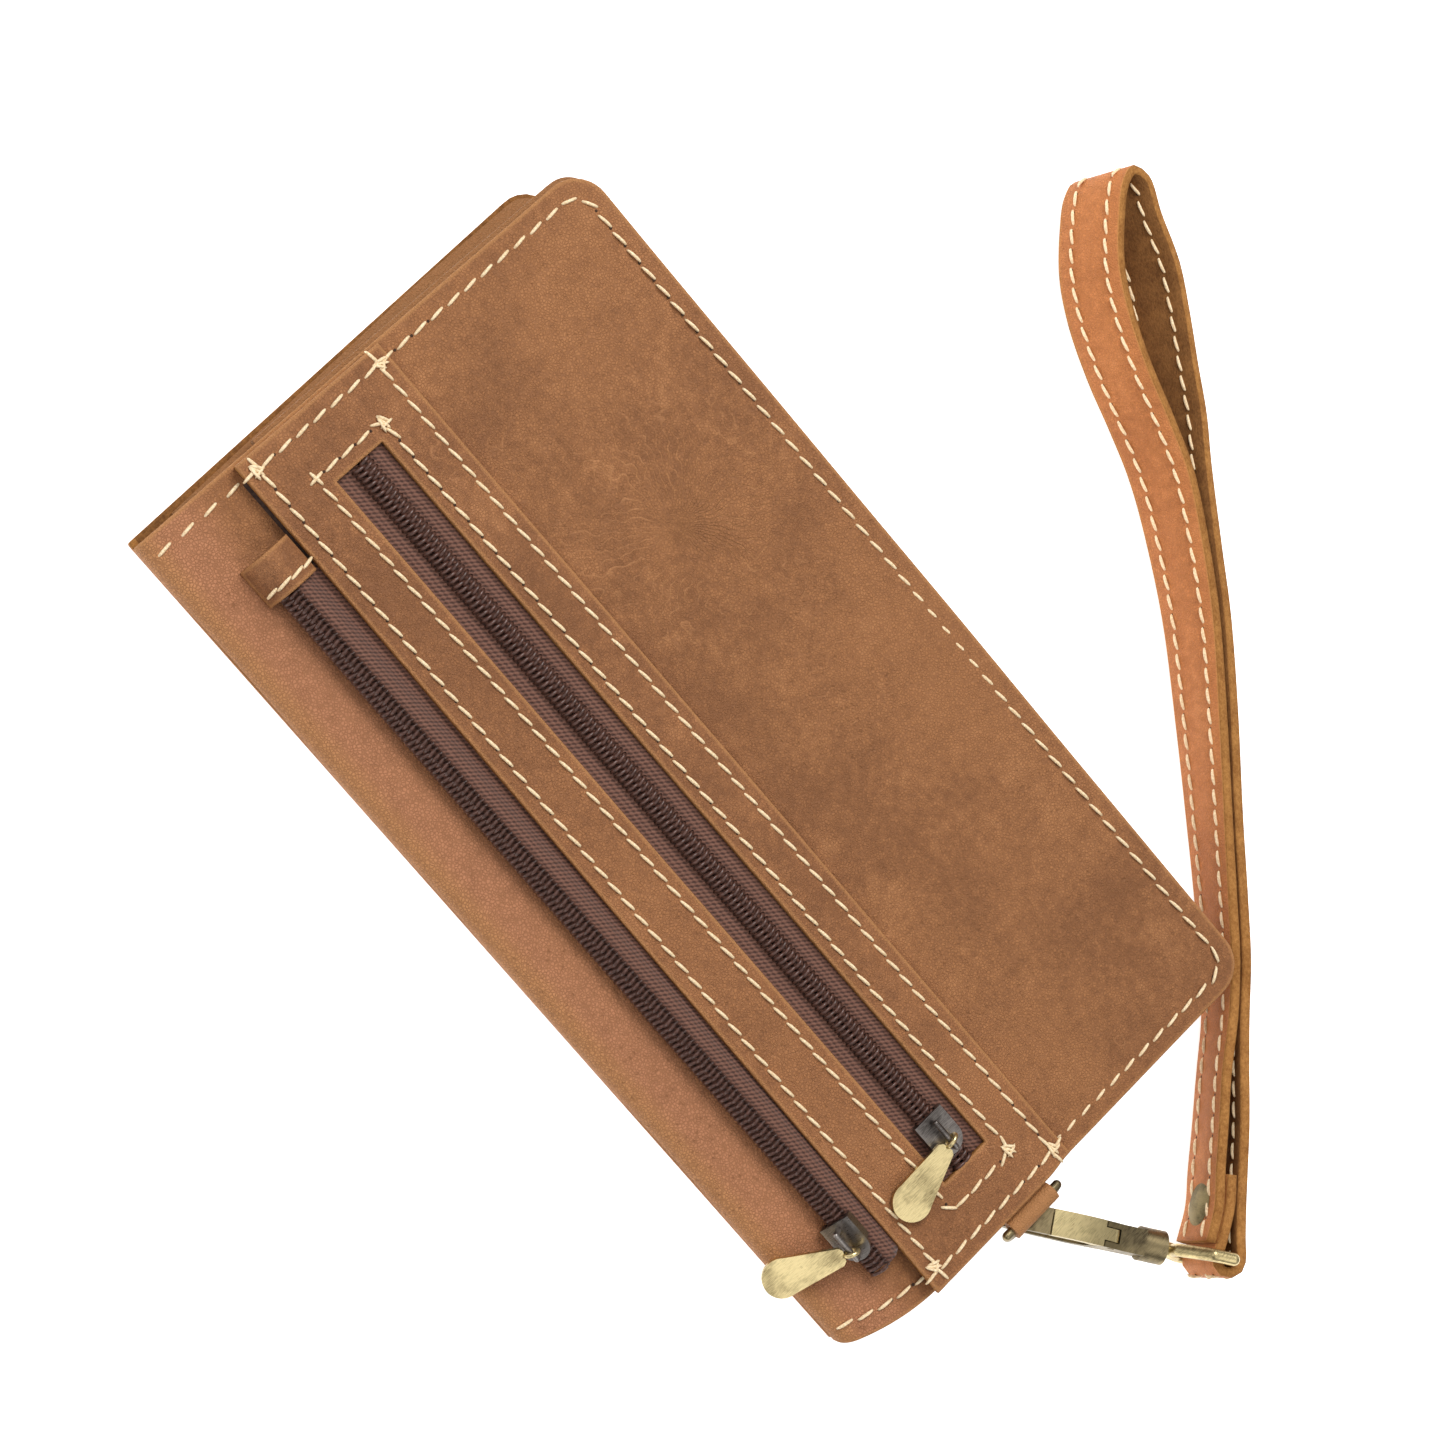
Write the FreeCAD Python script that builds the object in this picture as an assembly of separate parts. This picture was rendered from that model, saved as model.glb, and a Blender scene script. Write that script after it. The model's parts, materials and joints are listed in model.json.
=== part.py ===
import FreeCAD, Part
import math
import os

# A long bifold clutch wallet in leather: two covers hinged at a narrow spine, a raised
# pocket band with two zips on the front cover, and a wrist strap on a swivel snap hook.
# Millimetres. X runs along the wallet towards the strap, Y from the spine to the free
# edge, Z up. The closed wallet lies on its back cover, on Z = 0.

# ---- driving dimensions: wallet
LENGTH = 200.0
WIDTH = 108.0
SPINE_HEIGHT = 6.0          # outer surface of the front cover above the table, at the spine
FREE_HEIGHT = 18.3          # the same at the free edge
LEATHER = 1.5
CORNER_R = 7.0
BACK_X = (-101.2, 98.6)     # the back cover sits a little askew towards -X
BACK_SKEW = 2.4             # how far its left end runs out further at the free edge
BACK_FREE_Y = 52.0
CREASE_Y = -52.6            # the two leather creases of the spine
CREASE_GAP = 0.9            # cover edge to crease axis
CREASE_R = 0.75
SPINE_BULGE_Y = -54.0

# ---- driving dimensions: linings and inner pockets
LINING = 0.9
POCKET = 0.7
PANEL = 1.2
PANEL_RIM = 5.0
BACK_POCKET_START = -38.0
BACK_POCKET_ENDS = {"upper": 46.0, "middle": 34.0, "lower": 22.0}
FRONT_PANEL_START = -26.0
NOTE_POCKET_V = (-4.0, 36.0)

# ---- driving dimensions: pocket band on the front cover (flat, W is height over the cover)
BAND_X = (-99.4, 99.6)
BAND_V = (-34.0, 2.4)
BAND_LOW = (-32.5, -35.0)   # the lower edge at the left and at the right end
BAND_KNEE_V = -4.6
BAND_LIFT = 1.5
BAND_THICK = 1.4
BAND_RIM = 3.0
WINDOW_X = (-85.7, 85.5)
WINDOW_V = (-20.4, -9.3)
WINDOW_CHAIN_V = -14.9
TAPE = 0.4
TAPE_TUCK = 3.6
LINING_CLOTH = 0.15
WINDOW_BAG = (7.0, 4.5, 6.0, 5.0)   # lining past the window: -X, +X, spine side, free side
CHAIN_SLIT = 0.5            # chain centre to the inner side of each half coil
CHAIN_HALF = 2.1
CHAIN_HEIGHT = 1.5
CHAIN_CREST = 0.3            # rounding of a coil's crest, as a share of its height
CHAIN_END_GAP = 0.1          # window edge to the end of its coil

# ---- driving dimensions: lower zip, standing as the lip of the lower pocket
LIP_V = -40.0
LIP_W = 2.7
LIP_TILT = 45.0
LOWER_X = (-77.6, 88.0)
END_TAB_X = (-84.7, -76.5)
END_TAB_GAP = 0.15           # chain crest to the tab's inner face
TAPE_INNER_V = (-29.0, -30.0)           # where the upper and the lower tape end under the band
TAPE_ROLL = [(-34.6, 0.0), (-36.6, 1.8), (-37.6, 3.1)]   # (V, rise) of the upper tape's roll
TAPE_UPPER_TURN = 2.3        # across the lip, where the upper tape meets the chain's plane
TAPE_LOWER_TURN = -1.7
TAPE_UNDER_W = 0.5           # the lower tape's middle above the cover
TAPE_FOLD = [(-39.0, 0.5), (-40.9, 0.75)]                # (V, W) of the lower tape's fold

# ---- driving dimensions: sliders and pulls, heights over the tape
SLIDER_X = (-4.2, 4.6)
SLIDER_HALF = 3.4
SLIDER_PLATE = (1.75, 2.4)
SLIDER_FOOT = (-1.0, -0.55)
SLIDER_FOOT_HALF = 1.3
WINDOW_SLIDER_X = 78.0
LOWER_SLIDER_X = 79.4
BRIDGE_R = 0.55
BRIDGE_X = (-2.8, 3.2)
BRIDGE_HEIGHT = 4.3
PULL_SEAT = 1.6
PULL_LENGTH = 17.2
PULL_ROUND_R = 3.8
PULL_NECK = 3.4
PULL_THICK = 1.1
PULL_EYE_R = 1.35
PULL_EYE_WIRE_R = 0.45
WINDOW_PULL_SKEW = 14.0
WINDOW_PULL_DROP = 6.0
LOWER_PULL_SKEW = -22.0
LOWER_PULL_DROP = 15.5

# ---- driving dimensions: D-ring and its leather tab
RING_X = 102.1
RING_TAB_V = (-16.2, -5.2)
RING_W = 1.25
RING_R = 6.9
RING_WIRE_R = 0.9
RING_TILT = 25.0
RING_TAB_OUT_R = 1.9
FIT = 0.05

# ---- driving dimensions: snap hook and swivel eye, on one straight axis
CLASP_TURN = 34.0
CLASP_PITCH = 6.85
HOOK_WIDTH = 5.0
HOOK_OUTLINE = [
    (-5.05, 0.0), (-4.4, 1.9), (-2.9, 3.2), (0.0, 4.1), (4.0, 4.9), (10.0, 5.4),
    (15.0, 4.5), (18.0, 3.6), (20.0, 3.4)]
HOOK_MOUTH = [
    (-3.25, 0.0), (-3.1, 1.3), (-2.4, 2.25), (-0.5, 2.7), (2.0, 2.75), (6.0, 3.05),
    (9.5, 3.2), (12.0, 2.4), (12.8, 1.2)]
GATE_START = 3.3
GATE_PIVOT = (16.5, 2.6)
GATE_REST_ANGLE = 10.0
GATE_TRAVEL = 18.0
GATE_PIN_R = 0.6
KNUCKLE_R = 1.35
CHEEK_R = 2.9
TONGUE_WIDTH = 2.4
SPRING_R = 0.95
SPRING_B = (0.55, 1.15)
BARREL = (23.0, 28.0)
BARREL_R = 3.3
SWIVEL_PIN_R = 1.45
SWIVEL_HEAD = (24.0, 25.4)
SWIVEL_HEAD_R = 2.0
EYE_WIRE_R = 1.25
EYE_NEAR = 30.0
EYE_NEAR_HALF = 3.5
EYE_SHOULDER = 35.0
EYE_HALF = 8.85
EYE_FAR = 39.0

# ---- driving dimensions: wrist strap, standing on its edge; d along it, n away from the wallet
STRAP_WIDTH = 14.6
STRAP_THICK = 2.0
STRAP_DIR = (-0.8067, 0.5910)
STRAP_BAR_GAP = 0.3
STRAP_FLOOR_GAP = 0.02
STRAP_FLAT_D = -50.0
STRAP_CLASP_D = -100.0
STRAP_FREE_D = -60.0
STRAP_FINE = 900            # fine steps along the strap, thinned to these longest steps
STRAP_STEP = 7.0
STRAP_TURN = 9.0
STRAP_LEAN = [
    (-69.0, -3.0), (-48.0, -1.6), (-25.0, -0.3), (-8.0, 1.0), (13.0, 2.8), (34.0, 4.5),
    (50.0, 6.0), (61.0, 6.3), (82.0, 7.0), (102.0, 7.0)]
STRAP_NEAR = [
    (-100.0, 87.3), (-93.5, 90.35), (-87.0, 92.1), (-79.0, 94.6), (-69.0, 97.6), (-58.0, 101.2),
    (-48.0, 103.1), (-35.0, 104.2), (-17.0, 105.5), (0.0, 106.6), (20.0, 107.6), (34.0, 107.2),
    (50.0, 105.6), (61.0, 102.6), (71.0, 99.4), (82.0, 96.9), (92.0, 96.2), (102.0, 97.8),
    (108.5, 99.8)]
STRAP_TIP = [(111.2, 102.2)]
STRAP_FAR = [
    (109.5, 104.8), (102.0, 106.4), (92.0, 109.0), (82.0, 109.7), (71.0, 110.0), (61.0, 110.4),
    (50.0, 109.9), (34.0, 110.0), (20.0, 110.2), (0.0, 109.2), (-17.0, 107.9), (-35.0, 106.7),
    (-48.0, 105.6), (-58.0, 103.8), (-69.0, 101.6), (-79.0, 99.2), (-87.0, 96.9),
    (-93.5, 95.1), (-100.0, 93.6)]
WRAP_ANGLES = (105.0, 140.0, 180.0, 220.0, 262.0)
STRAP_TUCK = [(-100.0, 89.75), (-93.5, 92.75), (-88.0, 94.25)]
RIVET_NEAR = (-93.3, 90.45)
RIVET_FAR = (-94.9, 94.8)
RIVET_R = 1.2
RIVET_HEAD_R = 4.4
RIVET_DOME_R = 12.0
RIVET_RISE = 1.1

SLOPE = math.degrees(math.atan2(FREE_HEIGHT - SPINE_HEIGHT, WIDTH))
HALF = LENGTH / 2.0
HALF_V = WIDTH / 2.0 / math.cos(math.radians(SLOPE))
MID_Z = (FREE_HEIGHT + SPINE_HEIGHT) / 2.0
V = FreeCAD.Vector


def box(x, y, z):
    """A box from three (low, high) pairs."""
    size = [high - low for low, high in (x, y, z)]
    return Part.makeBox(size[0], size[1], size[2], V(x[0], y[0], z[0]))


def rounded_outline(x, y, low_r, high_r):
    """Closed outline of a rectangle with its low-Y and high-Y corners rounded."""
    corners = [
        (x[0], y[0], low_r, 180.0),
        (x[1], y[0], low_r, 270.0),
        (x[1], y[1], high_r, 0.0),
        (x[0], y[1], high_r, 90.0),
    ]
    edges = []
    ends = []
    for cx, cy, r, start in corners:
        sx = 1.0 if cx == x[0] else -1.0
        sy = 1.0 if cy == y[0] else -1.0
        centre = V(cx + sx * r, cy + sy * r, 0)
        points = []
        for turn in (0.0, 45.0, 90.0):
            a = math.radians(start + turn)
            points.append(centre + V(r * math.cos(a), r * math.sin(a), 0))
        edges.append(Part.Arc(points[0], points[1], points[2]).toShape() if r > 0 else None)
        ends.append((points[0], points[2]))
    outline = []
    for i, arc in enumerate(edges):
        if arc is not None:
            outline.append(arc)
        outline.append(Part.LineSegment(ends[i][1], ends[(i + 1) % len(ends)][0]).toShape())
    return Part.Wire(outline)


def plate(x, y, z, low_r=0.0, high_r=0.0):
    """A flat plate with rounded corners."""
    face = Part.Face(rounded_outline(x, y, low_r, high_r))
    face.translate(V(0, 0, z[0]))
    return face.extrude(V(0, 0, z[1] - z[0]))


def cylinder(start, end, radius):
    """A round bar between two points."""
    axis = V(*end) - V(*start)
    return Part.makeCylinder(radius, axis.Length, V(*start), axis)


def on_front(shape):
    """Lay a shape drawn on the flat (X, V, W) on the sloping front cover."""
    turned = shape.copy()
    turned.rotate(V(0, 0, 0), V(1, 0, 0), SLOPE)
    turned.translate(V(0, 0, MID_Z))
    return turned


def front_point(x, v, w):
    """The place of a point of the flat front cover."""
    a = math.radians(SLOPE)
    return V(x, v * math.cos(a) - w * math.sin(a), MID_Z + v * math.sin(a) + w * math.cos(a))


# ---- covers and spine
def crease_front():
    """Height of the upper crease's axis: the middle of the front leather there."""
    v = CREASE_Y / math.cos(math.radians(SLOPE))
    return front_point(0, v, -LEATHER / 2.0).z


def skewed_plate(inset, y, z, high_r):
    """A plate of the back half: its left end runs out further towards the free edge."""
    x = (BACK_X[0] + inset, BACK_X[1] - inset)
    sheet = plate((x[0] - BACK_SKEW, x[1]), y, z, 0.0, high_r)
    corner = [V(x[0] - BACK_SKEW - 1.0, y[0] - 1.0, z[0] - 1.0), V(x[0], y[0] - 1.0, z[0] - 1.0),
              V(x[0] - BACK_SKEW - 1.0, y[1], z[0] - 1.0)]
    waste = Part.Face(Part.makePolygon(corner + corner[:1])).extrude(V(0, 0, z[1] - z[0] + 2.0))
    return sheet.cut(waste)


def back_cover():
    return skewed_plate(0.0, (CREASE_Y + CREASE_GAP, BACK_FREE_Y), (0, LEATHER), CORNER_R)


def front_cover():
    start = CREASE_Y + CREASE_GAP
    sheet = plate((-HALF, HALF), (start, HALF_V), (-LEATHER, 0), 0.0, CORNER_R)
    return on_front(sheet)


def spine():
    """The narrow strip between the creases, with a round crease along each edge."""
    low = V(-HALF, CREASE_Y, LEATHER / 2.0)
    high = V(-HALF, CREASE_Y, crease_front())
    middle = (low.z + high.z) / 2.0
    outer = Part.Arc(low + V(0, -CREASE_R, 0), V(-HALF, SPINE_BULGE_Y, middle),
                     high + V(0, -CREASE_R, 0)).toShape()
    inner = Part.Arc(high + V(0, CREASE_R, 0), V(-HALF, SPINE_BULGE_Y + LEATHER, middle),
                     low + V(0, CREASE_R, 0)).toShape()
    top = Part.LineSegment(high + V(0, -CREASE_R, 0), high + V(0, CREASE_R, 0)).toShape()
    base = Part.LineSegment(low + V(0, CREASE_R, 0), low + V(0, -CREASE_R, 0)).toShape()
    strip = Part.Face(Part.Wire([outer, top, inner, base])).extrude(V(LENGTH, 0, 0))
    creases = [Part.makeCylinder(CREASE_R, LENGTH, end, V(1, 0, 0)) for end in (low, high)]
    return strip.fuse(creases).removeSplitter()


# ---- linings and inner pockets
def back_lining():
    inset = 1.0
    z = (LEATHER, LEATHER + LINING)
    y = (BACK_POCKET_START - 6.0, BACK_FREE_Y - inset)
    return skewed_plate(inset, y, z, CORNER_R - inset)


def back_pocket(name):
    order = list(BACK_POCKET_ENDS).index(name)
    base = LEATHER + LINING + order * POCKET
    y = (BACK_POCKET_START, BACK_POCKET_ENDS[name])
    return skewed_plate(2.4, y, (base, base + POCKET), 0.0)


def front_inner_panel():
    """The leather inside the front cover, held off it by a rim on three sides."""
    top = -LEATHER - PANEL
    x = (-HALF - 0.8, HALF - 1.4)
    y = (FRONT_PANEL_START, HALF_V - 0.8)
    sheet = plate(x, y, (top - PANEL, top), 0.0, CORNER_R - 1.0)
    rim = plate(x, y, (top, -LEATHER), 0.0, CORNER_R - 1.0)
    hollow = plate((x[0] + PANEL_RIM, x[1] - PANEL_RIM), (y[0] - 1.0, y[1] - PANEL_RIM),
                   (top, -LEATHER), 0.0, 3.0)
    return on_front(sheet.fuse(rim.cut(hollow)).removeSplitter())


def note_pocket():
    """Slim inner pocket sewn to the front inner panel."""
    top = -LEATHER - 2.0 * PANEL
    x = (-HALF + 2.0, HALF - 3.0)
    return on_front(box(x, NOTE_POCKET_V, (top - POCKET, top)))


# ---- pocket band and window zip
def band_section(x, low):
    """Band cross-section at one end: a ramp at the upper edge, raised and flat below it."""
    knee, top = BAND_KNEE_V, BAND_V[1]
    under = BAND_LIFT
    over = BAND_LIFT + BAND_THICK
    points = [
        V(x, low, under),
        V(x, knee, under),
        V(x, top, 0.0),
        V(x, top, BAND_THICK),
        V(x, knee, over),
        V(x, low, over),
    ]
    return Part.makePolygon(points + points[:1])


def pocket_band():
    """Raised leather strip with a long window; its two ends are sewn down to the cover."""
    sheet = Part.makeLoft([
        band_section(BAND_X[0], BAND_LOW[0]), band_section(BAND_X[1], BAND_LOW[1])], True, True)
    sheet = sheet.cut(box(WINDOW_X, WINDOW_V, (0.0, BAND_LIFT + 2.0)))
    over = (0.0, BAND_LIFT + 0.5 * BAND_THICK)
    blocks = [
        box((BAND_X[0], BAND_X[0] + BAND_RIM), (BAND_V[0], BAND_KNEE_V), over),
        box((BAND_X[1] - BAND_RIM, BAND_X[1]), (BAND_V[0], BAND_KNEE_V), over),
    ]
    slot = box((BAND_X[1] - BAND_RIM - 1.0, BAND_X[1] + 1.0),
               (RING_TAB_V[0] - 0.1, RING_TAB_V[1] + 0.1), (-0.1, BAND_LIFT))
    return on_front(sheet.fuse([block.cut(slot) for block in blocks]).removeSplitter())


def window_tape(side):
    """One half of the window's zip tape: side 1 towards the free edge, -1 towards the spine."""
    near = WINDOW_CHAIN_V + side * CHAIN_SLIT
    far = WINDOW_V[1] + TAPE_TUCK if side > 0 else WINDOW_V[0] - TAPE_TUCK
    x = (WINDOW_X[0] - TAPE_TUCK, WINDOW_X[1] + TAPE_TUCK)
    return on_front(box(x, (min(near, far), max(near, far)), (BAND_LIFT - TAPE, BAND_LIFT)))


def half_coil(x, side):
    """Half of a coil chain drawn flat, standing on the tape's top surface at height 0."""
    bar = box(x, (CHAIN_SLIT, CHAIN_HALF), (0.0, CHAIN_HEIGHT))
    crest = [
        e for e in bar.Edges
        if e.BoundBox.XLength > 1.0 and e.BoundBox.ZMin > CHAIN_HEIGHT / 2.0]
    bar = bar.makeFillet(CHAIN_HEIGHT * CHAIN_CREST, crest)
    return bar if side > 0 else bar.mirror(V(0, 0, 0), V(0, 1, 0))


def window_place(shape):
    """Carry a shape drawn on a flat chain to the window zip."""
    moved = shape.copy()
    moved.translate(V(0, WINDOW_CHAIN_V, BAND_LIFT))
    return on_front(moved)


def window_coil(side):
    """Half of the window chain: side 1 towards the free edge, -1 towards the spine."""
    return window_place(half_coil((WINDOW_X[0] + CHAIN_END_GAP, WINDOW_X[1] - CHAIN_END_GAP), side))


def window_lining():
    """Cloth of the window pocket, lying under the tape."""
    x = (WINDOW_X[0] - WINDOW_BAG[0], WINDOW_X[1] + WINDOW_BAG[1])
    y = (WINDOW_V[0] - WINDOW_BAG[2], WINDOW_V[1] + WINDOW_BAG[3])
    return on_front(box(x, y, (LINING_CLOTH, 2.0 * LINING_CLOTH)))


def lower_lining():
    """Cloth of the lower pocket, lying on the cover under the band."""
    x = (BAND_X[0] + BAND_RIM + 0.5, WINDOW_X[1] + 5.0)
    return on_front(box(x, (BAND_V[0] + 1.0, BAND_KNEE_V - 0.5), (0.0, LINING_CLOTH)))


# ---- lower zip
def lip_place(shape):
    """Carry a shape drawn on a flat chain to the tilted lip of the lower pocket."""
    moved = shape.copy()
    moved.rotate(V(0, 0, 0), V(1, 0, 0), LIP_TILT)
    moved.translate(V(0, LIP_V, LIP_W))
    return on_front(moved)


def strip_along(points, x):
    """A thin tape strip: a bent middle line (V, W), thickened and drawn out along X."""
    normals = []
    for i, (v, w) in enumerate(points):
        before = points[max(i - 1, 0)]
        after = points[min(i + 1, len(points) - 1)]
        dv, dw = after[0] - before[0], after[1] - before[1]
        size = math.hypot(dv, dw)
        normals.append((-dw / size, dv / size))
    half = TAPE / 2.0
    sides = []
    for sign in (1.0, -1.0):
        sides.append([
            V(x[0], v + sign * half * n[0], w + sign * half * n[1])
            for (v, w), n in zip(points, normals)])
    outline = sides[0] + sides[1][::-1]
    face = Part.Face(Part.makePolygon(outline + outline[:1]))
    return face.extrude(V(x[1] - x[0], 0, 0))


def on_lip(across, normal):
    """Flat (V, W) place of a point given across and above the lip's chain."""
    a = math.radians(LIP_TILT)
    v = LIP_V + across * math.cos(a) - normal * math.sin(a)
    return v, LIP_W + across * math.sin(a) + normal * math.cos(a)


def lower_tape_upper():
    """Tape from under the band over the roll of the lip to the upper half coil."""
    flat = BAND_LIFT - TAPE
    points = [(TAPE_INNER_V[0], flat)] + [(v, flat + rise) for v, rise in TAPE_ROLL]
    points += [on_lip(across, -TAPE / 2.0) for across in (TAPE_UPPER_TURN, CHAIN_SLIT)]
    return on_front(strip_along(points, LOWER_X))


def lower_tape_lower():
    """Tape from the lower half coil folded under to the cover."""
    points = [(TAPE_INNER_V[1], TAPE_UNDER_W)] + TAPE_FOLD
    points += [on_lip(across, -TAPE / 2.0) for across in (TAPE_LOWER_TURN, -CHAIN_SLIT)]
    return on_front(strip_along(points, LOWER_X))


def end_tab():
    """Leather folded over the left end of the lower zip."""
    inner = CHAIN_HEIGHT + END_TAB_GAP
    top, high, low = on_lip(0.0, inner), on_lip(2.6, inner), on_lip(-2.6, inner)
    points = [
        (-34.6, 1.6), (-36.6, 4.1), high, top, low, (-43.0, 0.3),
        (-44.0, 0.3), (low[0] - 0.8, low[1] + 0.5), (top[0] - 0.6, top[1] + 0.6),
        (high[0] + 0.2, high[1] + 0.9), (-35.6, 4.5), (-33.6, 3.0),
    ]
    outline = [V(END_TAB_X[0], v, w) for v, w in points]
    face = Part.Face(Part.makePolygon(outline + outline[:1]))
    skin = face.extrude(V(END_TAB_X[1] - END_TAB_X[0], 0, 0))
    return on_front(skin.cut(box(
        (END_TAB_X[0] - 1.0, END_TAB_X[1] + 1.0), (BAND_LOW[0] - 0.6, 0.0), (0.0, 9.0))))


# ---- sliders and pulls
def shield(half, low, high):
    """Flat plate of a slider: square tail towards -X, rounded nose towards +X."""
    tail, nose = SLIDER_X
    points = [V(tail, -half, low), V(1.4, -half, low)]
    lines = [
        Part.LineSegment(points[0], points[1]).toShape(),
        Part.Arc(points[1], V(nose, 0, low), V(1.4, half, low)).toShape(),
        Part.LineSegment(V(1.4, half, low), V(tail, half, low)).toShape(),
        Part.LineSegment(V(tail, half, low), points[0]).toShape(),
    ]
    return Part.Face(Part.Wire(lines)).extrude(V(0, 0, high - low))


def slider():
    """Slider on a flat chain: crown, flanges, neck, back plate and the low round bridge."""
    crown = shield(SLIDER_HALF, SLIDER_PLATE[0], SLIDER_PLATE[1])
    parts = []
    for side in (-1.0, 1.0):
        y = sorted((side * (CHAIN_HALF + 0.3), side * SLIDER_HALF))
        parts.append(box((SLIDER_X[0], 1.4), y, (0.5, SLIDER_PLATE[0])))
    parts.append(box((1.0, 4.0), (-0.3, 0.3), (SLIDER_FOOT[0], SLIDER_PLATE[1])))
    foot = (-SLIDER_FOOT_HALF, SLIDER_FOOT_HALF)
    parts.append(box((SLIDER_X[0], 4.0), foot, SLIDER_FOOT))
    x0, x1 = BRIDGE_X
    top = BRIDGE_HEIGHT
    parts.append(cylinder((x0, 0, top), (x1, 0, top), BRIDGE_R))
    for x in BRIDGE_X:
        parts.append(cylinder((x, 0, SLIDER_PLATE[1] - 0.2), (x, 0, top), BRIDGE_R))
        parts.append(Part.makeSphere(BRIDGE_R, V(x, 0, top)))
    return crown.fuse(parts).removeSplitter()


def pull():
    """Teardrop pull lying along -Y, flat in XY, with a round eye about the origin."""
    tip = -(PULL_LENGTH - PULL_ROUND_R)
    neck = PULL_NECK / 2.0
    side_y = tip + PULL_ROUND_R * 0.35
    side_x = math.sqrt(PULL_ROUND_R ** 2 - (side_y - tip) ** 2)
    outline = [
        Part.Arc(V(-side_x, side_y, 0), V(0, tip - PULL_ROUND_R, 0), V(side_x, side_y, 0)).toShape(),
        Part.LineSegment(V(side_x, side_y, 0), V(neck, -PULL_EYE_R - 0.6, 0)).toShape(),
        Part.LineSegment(V(neck, -PULL_EYE_R - 0.6, 0), V(neck * 0.6, -PULL_EYE_R, 0)).toShape(),
        Part.LineSegment(V(neck * 0.6, -PULL_EYE_R, 0), V(-neck * 0.6, -PULL_EYE_R, 0)).toShape(),
        Part.LineSegment(V(-neck * 0.6, -PULL_EYE_R, 0), V(-neck, -PULL_EYE_R - 0.6, 0)).toShape(),
        Part.LineSegment(V(-neck, -PULL_EYE_R - 0.6, 0), V(-side_x, side_y, 0)).toShape(),
    ]
    body = Part.Face(Part.Wire(outline)).extrude(V(0, 0, PULL_THICK))
    body.translate(V(0, 0, -PULL_THICK / 2.0))
    eye = Part.makeTorus(PULL_EYE_R, PULL_EYE_WIRE_R, V(0, 0, 0), V(1, 0, 0))
    return body.fuse(eye).removeSplitter()


def placed_pull(skew, roll, drop):
    """The pull skewed in its plane, rolled about its length and dropped at its tip."""
    shape = pull()
    shape.rotate(V(0, 0, 0), V(0, 1, 0), roll)
    shape.rotate(V(0, 0, 0), V(0, 0, 1), skew)
    shape.rotate(V(0, 0, 0), V(1, 0, 0), drop)
    return shape


def window_slider():
    """The slider at the closed end of the window zip."""
    shape = slider()
    shape.translate(V(WINDOW_SLIDER_X, 0, 0))
    return window_place(shape)


def lower_slider():
    """The slider at the closed end of the lower zip."""
    shape = slider()
    shape.translate(V(LOWER_SLIDER_X, 0, 0))
    return lip_place(shape)


def window_pull():
    """The pull resting on the pocket band."""
    shape = placed_pull(WINDOW_PULL_SKEW, 0.0, WINDOW_PULL_DROP)
    shape.translate(V(WINDOW_SLIDER_X + PULL_SEAT, 0, BRIDGE_HEIGHT))
    return window_place(shape)


def lower_pull():
    """The pull reaching out past the spine, clear of it when the wallet opens."""
    shape = placed_pull(LOWER_PULL_SKEW, 0.0, LOWER_PULL_DROP - LIP_TILT)
    shape.translate(V(LOWER_SLIDER_X + PULL_SEAT, 0, BRIDGE_HEIGHT))
    return lip_place(shape)


# ---- D-ring and its leather tab
def ring_point(reach):
    """A point of the hanging ring's plane, this far from the middle of its straight bar."""
    tilt = math.radians(RING_TILT)
    middle = sum(RING_TAB_V) / 2.0
    return front_point(
        RING_X + reach * math.sin(tilt), middle, RING_W - reach * math.cos(tilt))


def d_ring_tab():
    """Leather strip folded round the ring's bar, its two legs under the pocket band."""
    v0, v1 = RING_TAB_V
    centre = V(RING_X, v0, RING_W)
    barrel = Part.makeCylinder(RING_TAB_OUT_R, v1 - v0, centre, V(0, 1, 0))
    legs = box((WINDOW_X[1] + 5.5, RING_X), (v0, v1), (0.05, BAND_LIFT - 0.05))
    bore = Part.makeCylinder(RING_WIRE_R + FIT, v1 - v0, centre, V(0, 1, 0))
    return on_front(barrel.fuse(legs).cut(bore).removeSplitter())


def d_ring():
    """Half-round wire ring on a straight bar, hanging a little outwards from its tab."""
    r = RING_R
    bar = cylinder((0, -r, 0), (0, r, 0), RING_WIRE_R)
    bow = Part.makeTorus(r, RING_WIRE_R, V(0, 0, 0), V(1, 0, 0))
    bow = bow.common(box((-5.0, 5.0), (-12.0, 12.0), (-12.0, 0.0)))
    knobs = [Part.makeSphere(RING_WIRE_R, V(0, y, 0)) for y in (-r, r)]
    ring = bar.fuse([bow] + knobs).removeSplitter()
    ring.rotate(V(0, 0, 0), V(0, 1, 0), -RING_TILT)
    ring.translate(V(RING_X, sum(RING_TAB_V) / 2.0, RING_W))
    return on_front(ring)


# ---- snap hook and swivel eye, drawn in (S along, B across, H up)
def clasp_origin():
    """The place where the hook's axis crosses the bottom of the ring's bow."""
    return ring_point(RING_R)


def clasp_axes():
    """Unit vectors of the clasp: along its axis, across it and up its plane."""
    turn, pitch = math.radians(CLASP_TURN), math.radians(CLASP_PITCH)
    along = V(math.cos(turn) * math.cos(pitch), math.sin(turn) * math.cos(pitch), math.sin(pitch))
    across = V(-math.sin(turn), math.cos(turn), 0)
    return along, across, along.cross(across)


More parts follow.
